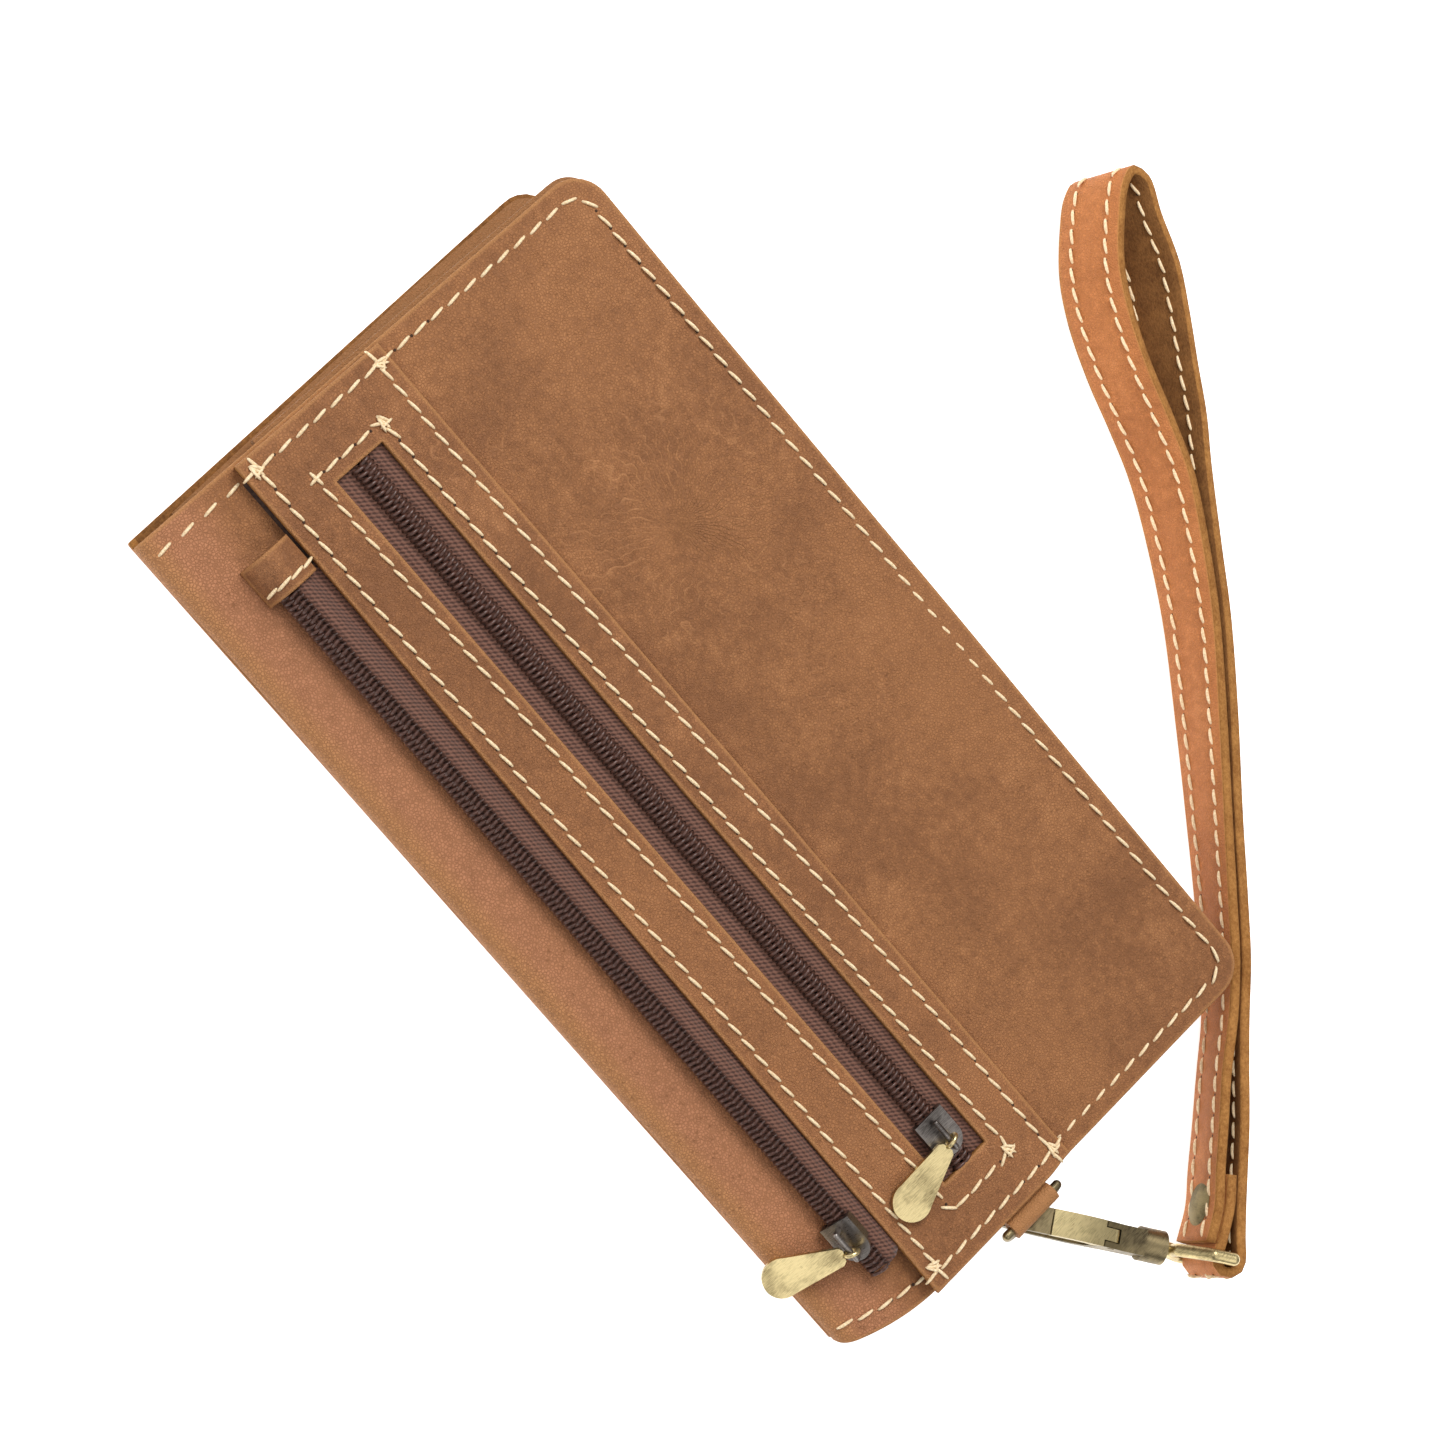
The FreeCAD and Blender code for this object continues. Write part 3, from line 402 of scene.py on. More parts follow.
@dataclass(frozen=True)
class SuedeFinish:
    """Flesh side or cut edge of leather: matt and fibrous."""

    name: str
    dark: Colour
    light: Colour

    def build(self) -> bpy.types.Material:
        """Make the material.

        Returns:
            The material.
        """
        surface = Surface(self.name)
        g = surface.graph
        p = g.place()
        fibre = g.noise(g.stretch(p, (1.0, 1.0, 2.2)), 1.6, 5.0, 0.75)
        patch = g.noise(p, 0.3, 3.0, 0.6)
        colour = g.mix((fibre * 0.8 + patch * 0.4).ramp(0.35, 0.85), self.dark, self.light)
        surface.bump(fibre, 0.25, 0.8)
        surface.set(Base_Color=colour, Roughness=0.92, Specular_IOR_Level=0.15)
        return surface.material


@dataclass(frozen=True)
class TapeFinish:
    """Woven zip tape with fine ribs along and across."""

    name: str
    dark: Colour
    light: Colour
    rib: float = 0.42

    def build(self) -> bpy.types.Material:
        """Make the material.

        Returns:
            The material.
        """
        surface = Surface(self.name)
        g = surface.graph
        p = g.place()
        slanted = g.add("ShaderNodeVectorRotate", {"rotation_type": "Z_AXIS"},
                        {"Vector": p, "Angle": math.radians(35.0)})
        rib = g.add("ShaderNodeTexWave", {"bands_direction": "X", "wave_profile": "SIN"}, {
            "Vector": slanted, "Scale": self.rib, "Distortion": 0.6, "Detail": 1.0}, out="Fac")
        warp = g.add("ShaderNodeTexWave", {"bands_direction": "Y", "wave_profile": "SIN"}, {
            "Vector": p, "Scale": self.rib * 0.8, "Distortion": 0.8}, out="Fac")
        fuzz = g.noise(p, 2.4, 3.0, 0.7)
        weave = rib * 0.6 + warp * 0.4
        colour = g.mix((weave * 0.6 + fuzz * 0.6).ramp(0.30, 0.85), self.dark, self.light)
        surface.bump(weave + fuzz * 0.4, 0.14, 1.0)
        surface.set(Base_Color=colour, Roughness=0.72, Specular_IOR_Level=0.3,
                    Sheen_Weight=0.15, Sheen_Roughness=0.5)
        return surface.material


@dataclass(frozen=True)
class PlainFinish:
    """A small plain piece with faint mottling, such as thread or coil."""

    name: str
    dark: Colour
    light: Colour
    roughness: float
    scale: float = 1.2
    bump_mm: float = 0.04

    def build(self) -> bpy.types.Material:
        """Make the material.

        Returns:
            The material.
        """
        surface = Surface(self.name)
        g = surface.graph
        p = g.place()
        spots = g.noise(p, self.scale, 3.0, 0.6)
        surface.bump(spots, self.bump_mm, 0.8)
        surface.set(Base_Color=g.mix(spots.ramp(0.3, 0.7), self.dark, self.light),
                    Roughness=self.roughness)
        return surface.material


@dataclass(frozen=True)
class MetalFinish:
    """Brushed metal with dark patina in patches."""

    name: str
    dark: Colour
    base: Colour
    roughness: float
    brush: tuple[float, float, float] = (5.0, 0.35, 0.8)
    patina: float = 0.6

    def build(self) -> bpy.types.Material:
        """Make the material.

        Returns:
            The material.
        """
        surface = Surface(self.name)
        g = surface.graph
        p = g.place()
        lines = g.noise(g.stretch(p, self.brush), 1.7, 3.0, 0.6)
        patch = g.noise(p, 0.16, 3.0, 0.55).ramp(0.40, 0.70)
        speck = g.noise(p, 1.1, 4.0, 0.65).ramp(0.60, 0.78)
        share = patch * self.patina + lines.ramp(0.62, 0.36) * 0.38 + speck * 0.22
        surface.bump(lines, 0.015, 0.4)
        surface.set(Base_Color=g.mix(share.ramp(0.0, 1.15), self.base, self.dark), Metallic=1.0,
                    Roughness=self.roughness + lines * 0.20 + patch * 0.10)
        return surface.material


class Finish(Enum):
    """Every finish of the object, by its record slot or its own name."""

    # GRAIN carries painted light along the spine: a pale strip and a rim highlight
    GRAIN = LeatherFinish("grain_leather", (0.215, 0.088, 0.034), (0.370, 0.158, 0.060),
                          (0.47, 0.215, 0.088), (0.44, 0.205, 0.075), lit_strip_share=0.85,
                          wrinkle_share=1.0)
    BAND = LeatherFinish("band_leather", (0.210, 0.086, 0.034), (0.365, 0.155, 0.060),
                         (0.46, 0.210, 0.088), (0.43, 0.20, 0.075), creases=1.2)
    INNER = LeatherFinish("inner_leather", (0.18, 0.076, 0.031), (0.28, 0.122, 0.050),
                          (0.33, 0.150, 0.064), (0.36, 0.17, 0.065), pores=0.4, creases=0.4)
    STRAP = LeatherFinish("strap_leather", (0.44, 0.152, 0.046), (0.66, 0.245, 0.078),
                          (0.66, 0.28, 0.105), (0.56, 0.25, 0.07), pores=0.3, creases=0.2)
    SUEDE = SuedeFinish("suede", (0.12, 0.047, 0.015), (0.33, 0.148, 0.046))
    CUT_EDGE = SuedeFinish("cut_edge", (0.22, 0.086, 0.022), (0.50, 0.235, 0.068))
    LINING = PlainFinish("lining_cloth", (0.05, 0.025, 0.018), (0.09, 0.05, 0.035), 0.9)
    TAPE = TapeFinish("zip_tape", (0.050, 0.020, 0.013), (0.20, 0.090, 0.060))
    COIL = PlainFinish("zip_coil", (0.050, 0.020, 0.013), (0.105, 0.045, 0.032), 0.33)
    THREAD = PlainFinish("thread", (0.74, 0.53, 0.29), (0.98, 0.80, 0.53), 0.62, 2.5, 0.06)
    HOLE = PlainFinish("needle_hole", (0.03, 0.013, 0.006), (0.06, 0.028, 0.013), 0.95)
    OLD_BRASS = MetalFinish("dark_brass", (0.060, 0.046, 0.028), (0.30, 0.235, 0.125), 0.26)
    BRASS = MetalFinish("antique_brass", (0.16, 0.118, 0.052), (0.74, 0.60, 0.31), 0.20,
                        patina=0.45)
    KHAKI = MetalFinish("matt_brass", (0.105, 0.084, 0.042), (0.27, 0.215, 0.105), 0.46)
    GUNMETAL = MetalFinish("gunmetal", (0.060, 0.052, 0.048), (0.32, 0.285, 0.26), 0.20)
    STEEL = MetalFinish("spring_steel", (0.2, 0.2, 0.2), (0.6, 0.6, 0.6), 0.3)


class Palette:
    """Materials made once each, on first use."""

    def __init__(self) -> None:
        """Start with nothing made."""
        self._made: dict[Finish, bpy.types.Material] = {}

    def get(self, finish: Finish) -> bpy.types.Material:
        """The material of a finish.

        Args:
            finish: the finish.

        Returns:
            Its material, made on the first call.
        """
        if finish not in self._made:
            self._made[finish] = finish.value.build()
        return self._made[finish]

    def leather(self, face: Finish) -> list[bpy.types.Material]:
        """Materials of a leather piece: its outer face, flesh side and cut edge."""
        return [self.get(finish) for finish in (face, Finish.SUEDE, Finish.CUT_EDGE)]


# --------------------------------------------------------------------------- geometry
def metres(points: Sequence[Vector]) -> list[Vector]:
    """Millimetre points in metres."""
    return [p * MM for p in points]


def make_object(name: str, verts: Sequence[Vector], faces: Sequence[Sequence[int]],
                materials: Sequence[bpy.types.Material], smooth: bool = True,
                face_slots: Optional[Sequence[int]] = None) -> bpy.types.Object:
    """Make a mesh object at the origin from millimetre points.

    Args:
        name: the object's name.
        verts: points in millimetres.
        faces: corner indices of each face.
        materials: the material slots.
        smooth: whether faces are shaded smooth.
        face_slots: slot index of each face, or None for slot 0.

    Returns:
        The linked object.
    """
    mesh = bpy.data.meshes.new(name)
    mesh.from_pydata(metres(verts), [], [tuple(f) for f in faces])
    for material in materials:
        mesh.materials.append(material)
    if face_slots is not None:
        mesh.polygons.foreach_set("material_index", list(face_slots))
    mesh.polygons.foreach_set("use_smooth", [smooth] * len(mesh.polygons))
    obj = bpy.data.objects.new(name, mesh)
    bpy.context.scene.collection.objects.link(obj)
    return obj


def outward(obj: bpy.types.Object) -> None:
    """Drop points without a face and turn all faces outwards.

    Args:
        obj: the object, whose mesh is changed.
    """
    work = bmesh.new()
    work.from_mesh(obj.data)
    loose = [v for v in work.verts if not v.link_faces]
    bmesh.ops.delete(work, geom=loose, context="VERTS")
    bmesh.ops.recalc_face_normals(work, faces=work.faces)
    work.to_mesh(obj.data)
    work.free()


def store_edge(obj: bpy.types.Object, distances: Sequence[float]) -> None:
    """Keep each point's distance from the nearest edge, in millimetres, for its material."""
    store = obj.data.attributes.new("edge", "FLOAT", "POINT")
    store.data.foreach_set("value", distances)


def tube_faces(rings: int, sides: int, start: int = 0) -> list[list[int]]:
    """Faces of a tube whose points run ring by ring, closed at both ends.

    Args:
        rings: number of rings.
        sides: points in each ring.
        start: index of the first point.

    Returns:
        The side faces ring by ring, then the two ends.
    """
    faces = []
    for i in range(rings - 1):
        low, high = start + i * sides, start + (i + 1) * sides
        for j in range(sides):
            n = (j + 1) % sides
            faces.append([low + j, low + n, high + n, high + j])
    faces.append([start + j for j in range(sides)][::-1])
    faces.append([start + (rings - 1) * sides + j for j in range(sides)])
    return faces


def spline(points: Sequence[Sequence[float]], step: float) -> list[Vector]:
    """Points every step along a smooth curve through the given points.

    Args:
        points: the curve's points.
        step: spacing in millimetres.

    Returns:
        The points, first and last included.
    """
    knots = [Vector(p) for p in points]
    knots = [knots[0] * 2 - knots[1]] + knots + [knots[-1] * 2 - knots[-2]]
    out: list[Vector] = []
    for a, b, c, d in zip(knots, knots[1:], knots[2:], knots[3:]):
        count = max(1, round((c - b).length / step))
        t1 = max((b - a).length, 1e-6) ** 0.5
        t2 = max((c - b).length, 1e-6) ** 0.5
        t3 = max((d - c).length, 1e-6) ** 0.5
        m1 = (c - b) + ((b - a) / t1 - (c - a) / (t1 + t2)) * t2
        m2 = (c - b) + ((d - c) / t3 - (d - b) / (t2 + t3)) * t2
        for i in range(count):
            t = i / count
            out.append(b * (2 * t ** 3 - 3 * t ** 2 + 1) + m1 * (t ** 3 - 2 * t ** 2 + t)
                       + c * (3 * t ** 2 - 2 * t ** 3) + m2 * (t ** 3 - t ** 2))
    out.append(knots[-2])
    return out


def steps(low: float, high: float, size: float, border: Sequence[float] = ()) -> list[float]:
    """Values from low to high, evenly spaced, with extra ones near both ends.

    Args:
        low: the first value.
        high: the last value.
        size: rough spacing.
        border: distances of the extra values from each end.

    Returns:
        The values in order.
    """
    count = max(1, round((high - low) / size))
    values = {round(low + (high - low) * i / count, 4) for i in range(count + 1)}
    for inset in border:
        values |= {round(low + inset, 4), round(high - inset, 4)}
    return sorted(values)


BORDER = (0.12, 0.35, 0.8, 1.6)
RIM = (*reversed(BORDER), 0.0)


class Profile:
    """A curve across X, with the length run along it to each of its points."""

    def __init__(self, curve: list[Vector]) -> None:
        """Measure the curve.

        Args:
            curve: its points, with X left at 0.
        """
        self.curve = curve
        self.runs = [0.0]
        for a, b in zip(curve, curve[1:]):
            self.runs.append(round(self.runs[-1] + (b - a).length, 4))
        self.index = {run: i for i, run in enumerate(self.runs)}

    def at(self, run: float) -> tuple[Vector, Vector]:
        """The point at a run, and the normal there.

        Args:
            run: one of the profile's runs.

        Returns:
            The point, and the unit normal on the left of the curve.
        """
        i = self.index[run]
        before, after = self.curve[max(i - 1, 0)], self.curve[min(i + 1, len(self.curve) - 1)]
        along = (after - before).normalized()
        return self.curve[i], Vector((0, -along.z, along.y))


@dataclass
class Sheet:
    """A sheet of leather or cloth drawn flat in (a, b) and laid on a surface in space."""

    name: str
    a: list[float]
    b: list[float]
    lay: Callable[[float, float], tuple[Vector, Vector]]
    thickness: float
    round_over: float = 0.4
    softness: float = 0.6
    holes: Sequence[tuple[float, float, float, float]] = ()
    warp: Callable[[float, float], tuple[float, float]] = lambda a, b: (a, b)
    relief: Callable[[float, float], float] = lambda a, b: 0.0
    border_distance: Optional[Callable[[float, float], float]] = None

    def _inside(self, a: float, b: float) -> bool:
        """Whether a flat point is outside every hole."""
        return not any(x0 < a < x1 and y0 < b < y1 for x0, x1, y0, y1 in self.holes)

    def _distance(self, a: float, b: float) -> float:
        """Distance of a flat point from the nearest edge.

        Args:
            a: the point's first coordinate.
            b: the point's second coordinate.

        Returns:
            The distance in millimetres.
        """
        if self.border_distance is not None:
            return self.border_distance(a, b)
        best = min(a - self.a[0], self.a[-1] - a, b - self.b[0], self.b[-1] - b)
        for x0, x1, y0, y1 in self.holes:
            dx, dy = max(x0 - a, a - x1, 0.0), max(y0 - b, b - y1, 0.0)
            best = min(best, math.hypot(dx, dy))
        return max(best, 0.0)

    def build(self, materials: Sequence[bpy.types.Material]) -> bpy.types.Object:
        """Make the closed mesh: outer face, inner face and cut edges.

        Args:
            materials: outer face, inner face and cut edge.

        Returns:
            The object, with its distance from the nearest edge in attribute "edge".
        """
        verts, distances = self._points()
        faces, slots = self._faces()
        obj = make_object(self.name, verts, faces, materials, True, slots)
        store_edge(obj, distances)
        outward(obj)
        return obj

    def _points(self) -> tuple[list[Vector], list[float]]:
        """Points of the outer face, then of the inner face.

        Returns:
            The points, and each one's distance from the nearest edge.
        """
        verts: list[Vector] = []
        distances: list[float] = []
        for inner in (False, True):
            for a in self.a:
                for b in self.b:
                    wa, wb = self.warp(a, b)
                    place, normal = self.lay(wa, wb)
                    d = self._distance(a, b)
                    share = max(0.0, 1.0 - d / self.round_over) if self.round_over else 0.0
                    bend = 1.0 - math.sqrt(max(0.0, 1.0 - share ** 2))
                    dip = self.round_over * self.softness * bend
                    if inner:
                        rise = dip * self.softness - self.thickness
                    else:
                        rise = self.relief(wa, wb) - dip
                    verts.append(place + normal * rise)
                    distances.append(d)
        return verts, distances

    def _faces(self) -> tuple[list[list[int]], list[int]]:
        """Faces of both sides and of the cut edges between them.

        Returns:
            The faces, and each one's material slot.
        """
        faces: list[list[int]] = []
        slots: list[int] = []
        sides: dict[tuple[int, int], None] = {}
        columns = len(self.b)
        layer = len(self.a) * columns
        for i, (a0, a1) in enumerate(zip(self.a, self.a[1:])):
            for j, (b0, b1) in enumerate(zip(self.b, self.b[1:])):
                if not self._inside((a0 + a1) / 2, (b0 + b1) / 2):
                    continue
                near, far = i * columns + j, (i + 1) * columns + j
                ring = [near, far, far + 1, near + 1]
                faces += [ring, [k + layer for k in reversed(ring)]]
                slots += [0, 1]
                sides.update(dict.fromkeys(zip(ring, ring[1:] + ring[:1])))
        for p, q in sides:
            if (q, p) not in sides:
                faces.append([q, p, p + layer, q + layer])
                slots.append(2)
        return faces, slots


def rounded(a0: float, a1: float, b_end: float, radius: float) -> Callable[[float, float], Flat]:
    """A warp that narrows rows near b_end so that the two corners there are round.

    Args:
        a0: low side.
        a1: high side.
        b_end: the end with the round corners.
        radius: the corners' radius.

    Returns:
        The warp.
    """
    middle, half = (a0 + a1) / 2.0, (a1 - a0) / 2.0

    def warp(a: float, b: float) -> Flat:
        """Move a flat point towards the middle line.

        Args:
            a: its first coordinate.
            b: its second coordinate.

        Returns:
            The moved point.
        """
        over = min(max(b - (b_end - radius), 0.0), radius)
        room = half - radius + math.sqrt(max(radius ** 2 - over ** 2, 0.0))
        return middle + (a - middle) * room / half, b

    return warp


# --------------------------------------------------------------------------- repeated pieces
class PathRepeat:
    """A Geometry Nodes tree that puts a small mesh along curves, turned to follow them."""

    INPUTS = (("Path", "Geometry"), ("Piece", "Object"), ("Pitch", "Float"), ("Jitter", "Float"),
              ("Seed", "Int"), ("Finish", "Material"))

    def __init__(self) -> None:
        """Make the tree, with named inputs."""
        tree = bpy.data.node_groups.new("repeat_along_path", "GeometryNodeTree")
        for name, kind in self.INPUTS:
            tree.interface.new_socket(name, in_out="INPUT", socket_type=f"NodeSocket{kind}")
        tree.interface.new_socket("Mesh", in_out="OUTPUT", socket_type="NodeSocketGeometry")
        self.tree = tree
        g = Graph(tree)
        sockets = list(tree.nodes.new("NodeGroupInput").outputs)[:len(self.INPUTS)]
        path, piece, pitch, jitter, seed, finish = (Wire(g, socket) for socket in sockets)
        curve = g.add("GeometryNodeMeshToCurve", None, {"Mesh": path})
        even = g.add("GeometryNodeResampleCurve", {"mode": "LENGTH"},
                     {"Curve": curve, "Length": pitch})
        kept = g.add("GeometryNodeStoreNamedAttribute",
                     {"data_type": "QUATERNION", "domain": "POINT"},
                     {"Geometry": even, "Name": "turn", "Value": self.along(g)})
        points = g.add("GeometryNodeCurveToPoints", {"mode": "EVALUATED"}, {"Curve": kept})
        saved = g.add("GeometryNodeInputNamedAttribute", {"data_type": "QUATERNION"},
                      {"Name": "turn"})
        shape = g.add("GeometryNodeObjectInfo", None, {"Object": piece}, out="Geometry")
        placed = g.add("GeometryNodeInstanceOnPoints", None,
                       {"Points": points, "Instance": shape, "Rotation": saved})
        chance = g.add("FunctionNodeRandomValue", {"data_type": "FLOAT"},
                       {2: -1.0, 3: 1.0, "Seed": seed})
        angles = g.add("ShaderNodeCombineXYZ", None, {"Z": chance * jitter})
        spin = g.add("FunctionNodeEulerToRotation", None, {"Euler": angles})
        turned = g.add("GeometryNodeRotateInstances", None,
                       {"Instances": placed, "Rotation": spin})
        whole = g.add("GeometryNodeRealizeInstances", None, {"Geometry": turned})
        dressed = g.add("GeometryNodeSetMaterial", None, {"Geometry": whole, "Material": finish})
        end = tree.nodes.new("NodeGroupOutput")
        tree.links.new(dressed.socket, end.inputs[0])

    @staticmethod
    def along(g: Graph) -> Wire:
        """The rotation that lays X along the path and turns Z to the stored up direction.

        Args:
            g: the tree's graph.

        Returns:
            The rotation at each point of the path.
        """
        tangent = g.add("GeometryNodeInputTangent", None, None)
        up = g.add("GeometryNodeInputNamedAttribute", {"data_type": "FLOAT_VECTOR"},
                   {"Name": "up"})
        turn = g.add("FunctionNodeAlignRotationToVector", {"axis": "X", "pivot_axis": "AUTO"},
                     {"Vector": tangent})
        return g.add("FunctionNodeAlignRotationToVector", {"axis": "Z", "pivot_axis": "X"},
                     {"Rotation": turn, "Vector": up})

    def run(self, name: str, lines: Sequence[Line],
            piece: bpy.types.Object, pitch: float, finish: bpy.types.Material,
            jitter: float = 0.0, seed: int = 1) -> bpy.types.Object:
        """Repeat a piece along lines and return one plain mesh.

        Args:
            name: the new object's name.
            lines: for each line its points and its up directions, in millimetres.
            piece: the small object to repeat, lying along X with Z up.
            pitch: spacing in millimetres.
            finish: the material.
            jitter: largest random turn in radians.
            seed: random seed.

        Returns:
            The plain mesh object.
        """
        verts: list[Vector] = []
        ups: list[Vector] = []
        edges: list[tuple[int, int]] = []
        for points, normals in lines:
            start = len(verts)
            verts += points
            ups += normals
            edges += [(start + i, start + i + 1) for i in range(len(points) - 1)]
        mesh = bpy.data.meshes.new(name + "_path")
        mesh.from_pydata(metres(verts), edges, [])
        store = mesh.attributes.new("up", "FLOAT_VECTOR", "POINT")
        store.data.foreach_set("vector", [c for u in ups for c in u])
        host = bpy.data.objects.new(name + "_path", mesh)
        bpy.context.scene.collection.objects.link(host)
        modifier = host.modifiers.new("repeat", "NODES")
        modifier.node_group = self.tree
        values = {"Piece": piece, "Pitch": pitch * MM, "Jitter": jitter, "Seed": seed,
                  "Finish": finish}
        for item in self.tree.interface.items_tree:
            if item.name in values and item.in_out == "INPUT":
                modifier[item.identifier] = values[item.name]
        host.update_tag()
        bpy.context.view_layer.update()
        graph = bpy.context.evaluated_depsgraph_get()
        plain = bpy.data.meshes.new_from_object(host.evaluated_get(graph), depsgraph=graph)
        host.modifiers.remove(modifier)
        bpy.data.objects.remove(host)
        for word in ("turn", "up"):
            if word in plain.attributes:
                plain.attributes.remove(plain.attributes[word])
        obj = bpy.data.objects.new(name, plain)
        plain.name = name
        plain.polygons.foreach_set("use_smooth", [True] * len(plain.polygons))
        bpy.context.scene.collection.objects.link(obj)
        return obj


def small_tube(name: str, points: Sequence[Sequence[float]], radii: Sequence[float],
               sides: int = 8) -> bpy.types.Object:
    """A short bent rod, as the piece to repeat along a path.

    Args:
        name: object name.
        points: the rod's middle line in millimetres.
        radii: its radius at each point.
        sides: corners of its section.

    Returns:
        The object, hidden from renders.
    """
    line = [Vector(p) for p in points]
    verts: list[Vector] = []
    for i, p in enumerate(line):
        t = (line[min(i + 1, len(line) - 1)] - line[max(i - 1, 0)]).normalized()
        steep = abs(t.z) > 0.95
        side = (t.orthogonal() if steep else t.cross(Vector((0, 0, 1)))).normalized()
        up = side.cross(t)
        for k in range(sides):
            w = 2 * math.pi * k / sides
            verts.append(p + (side * math.cos(w) + up * math.sin(w)) * radii[i])
    obj = make_object(name, verts, tube_faces(len(line), sides), [])
    outward(obj)
    obj.hide_render = True
    return obj


class Stitcher:
    """Makes rows of lock stitches with dark needle holes between them."""

    LENGTH = 3.4
    RADIUS = 0.33
    SLANT = math.radians(7.0)
    # share of the half length, height and radius along half a stitch
    ARCH = ((1.0, -0.28, 0.16), (0.82, 0.10, 0.25), (0.4, 0.22, RADIUS))
    CREST = 0.25
    TURN = 0.05
    # offset along and across, turn added, and length of each thread of a knot
    KNOT = ((0.0, 0.0, 0.0, 3.4), (0.5, 0.3, 1.4, 2.8), (-0.5, 0.4, 0.3, 2.6),
            (0.2, -0.6, -0.35, 3.0))
    KNOT_RINGS = 7
    KNOT_SIDES = 8
    KNOT_RADIUS = 0.30

    def __init__(self, palette: Palette, repeat: PathRepeat) -> None:
        """Make one stitch and one needle hole.

        Args:
            palette: the materials.
            repeat: the tree that repeats them.
        """
        self.palette = palette
        self.repeat = repeat
        half = self.LENGTH / 2
        lean = math.tan(self.SLANT) * half
        rise = [(-share, height) for share, height, _ in self.ARCH]
        fall = [(-share, height) for share, height in reversed(rise)]
        points = [(half * share, lean * share, height)
                  for share, height in rise + [(0.0, self.CREST)] + fall]
        radii = [radius for _, _, radius in self.ARCH]
        self.piece = small_tube("stitch_piece", points, radii + [self.RADIUS] + radii[::-1])
        self.hole = small_tube("hole_piece", [(0, 0, -0.2), (0, 0, 0.05), (0, 0, 0.06)],
                               [0.30, 0.30, 0.02])

    def sew(self, name: str, body: str, lines: Sequence[Line],
            pitch: float, seed: int = 1) -> None:
        """Sew lines on a body.

        Args:
            name: base name of the objects.
            body: the body the thread moves with.
            lines: points and up directions of each row.
            pitch: stitch spacing in millimetres.
            seed: random seed of the small turns.
        """
        thread = self.repeat.run(name + "_stitches", lines, self.piece, pitch,
                                 self.palette.get(Finish.THREAD), self.TURN, seed)
        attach(thread, body)
        shifted = [shift_line(points, ups, pitch / 2) for points, ups in lines]
        holes = self.repeat.run(name + "_needle_holes", shifted, self.hole, pitch,
                                self.palette.get(Finish.HOLE), 0.0, seed)
        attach(holes, body)

    def knot(self, name: str, body: str, place: Vector, up: Vector, turn: float) -> None:
        """Tie a small knot of thread where rows of stitches meet.

        Args:
            name: the object's name.
            body: the body that it moves with.
            place: its centre.
            up: the surface's normal.
            turn: turn of its first thread, in radians.
        """
        verts: list[Vector] = []
        faces: list[list[int]] = []
        side = up.cross(Vector((1, 0, 0))).normalized()
        along = side.cross(up)
        for k, (dx, dy, extra, length) in enumerate(self.KNOT):
            angle = turn + extra
            d = along * math.cos(angle) + side * math.sin(angle)
            across = up.cross(d)
            centre = place + along * dx + side * dy
            faces += tube_faces(self.KNOT_RINGS, self.KNOT_SIDES, len(verts))
            for i in range(self.KNOT_RINGS):
                t = i / (self.KNOT_RINGS - 1) * 2 - 1
                r = self.KNOT_RADIUS * math.sqrt(max(0.08, 1 - t ** 4))
                q = centre + d * (t * length / 2) + up * (0.28 - 0.35 * t * t + 0.06 * k)
                for j in range(self.KNOT_SIDES):
                    w = math.pi * 2 * j / self.KNOT_SIDES
                    verts.append(q + (across * math.cos(w) + up * math.sin(w)) * r)
        obj = make_object(name, verts, faces, [self.palette.get(Finish.THREAD)])
        outward(obj)
        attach(obj, body)

    def done(self) -> None:
        """Remove the pieces that were repeated."""
        for obj in (self.piece, self.hole):
            bpy.data.objects.remove(obj)


def shift_line(points: list[Vector], ups: list[Vector], start: float) -> Line:
    """Drop the first stretch of a line.

    Args:
        points: the line's points.
        ups: its up directions.
        start: length to drop.

    Returns:
        The rest of the line.
    """
    run = 0.0
    for i in range(len(points) - 1):
        piece = (points[i + 1] - points[i]).length
        if run + piece > start:
            share = (start - run) / piece
            first = points[i].lerp(points[i + 1], share)
            return [first] + points[i + 1:], [ups[i]] + ups[i + 1:]
        run += piece
    return points, ups


# --------------------------------------------------------------------------- the wallet
@dataclass
class FrontPlane:
    """The sloping outer face of the front cover: flat (x, v) to space, w above it."""

    leather: float = 1.5
    angle: float = 0.0
    base: Vector = field(default_factory=Vector)
    half_v: float = 0.0
    x0: float = 0.0
    x1: float = 0.0

    @classmethod
    def measure(cls) -> "FrontPlane":
        """Read the plane from the front cover's box.

        Returns:
            The plane.
        """
        low, high = (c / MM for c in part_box("front_cover"))
        t = cls.leather
        rise, run = high.z - low.z, high.y - low.y
        angle = math.atan2(rise, run)
        for _ in range(6):
            angle = math.atan2(rise - t * math.cos(angle), run - t * math.sin(angle))
        edge = Vector((0, high.y - t * math.sin(angle), high.z))
        half_v = edge.y / math.cos(angle)
        base = Vector((0, 0, edge.z - half_v * math.sin(angle)))
        return cls(t, angle, base, half_v, low.x, high.x)

    def at(self, x: float, v: float, w: float = 0.0) -> Vector:
        """The place of a flat point."""
        c, s = math.cos(self.angle), math.sin(self.angle)
        return self.base + Vector((x, v * c - w * s, v * s + w * c))

    def turn(self, flat: Vector) -> Vector:
        """A direction given flat, as (0, v, w), turned into space."""
        c, s = math.cos(self.angle), math.sin(self.angle)
        return Vector((0, flat.y * c - flat.z * s, flat.y * s + flat.z * c))

    @property
    def up(self) -> Vector:
        """The outward normal."""
        return Vector((0, -math.sin(self.angle), math.cos(self.angle)))


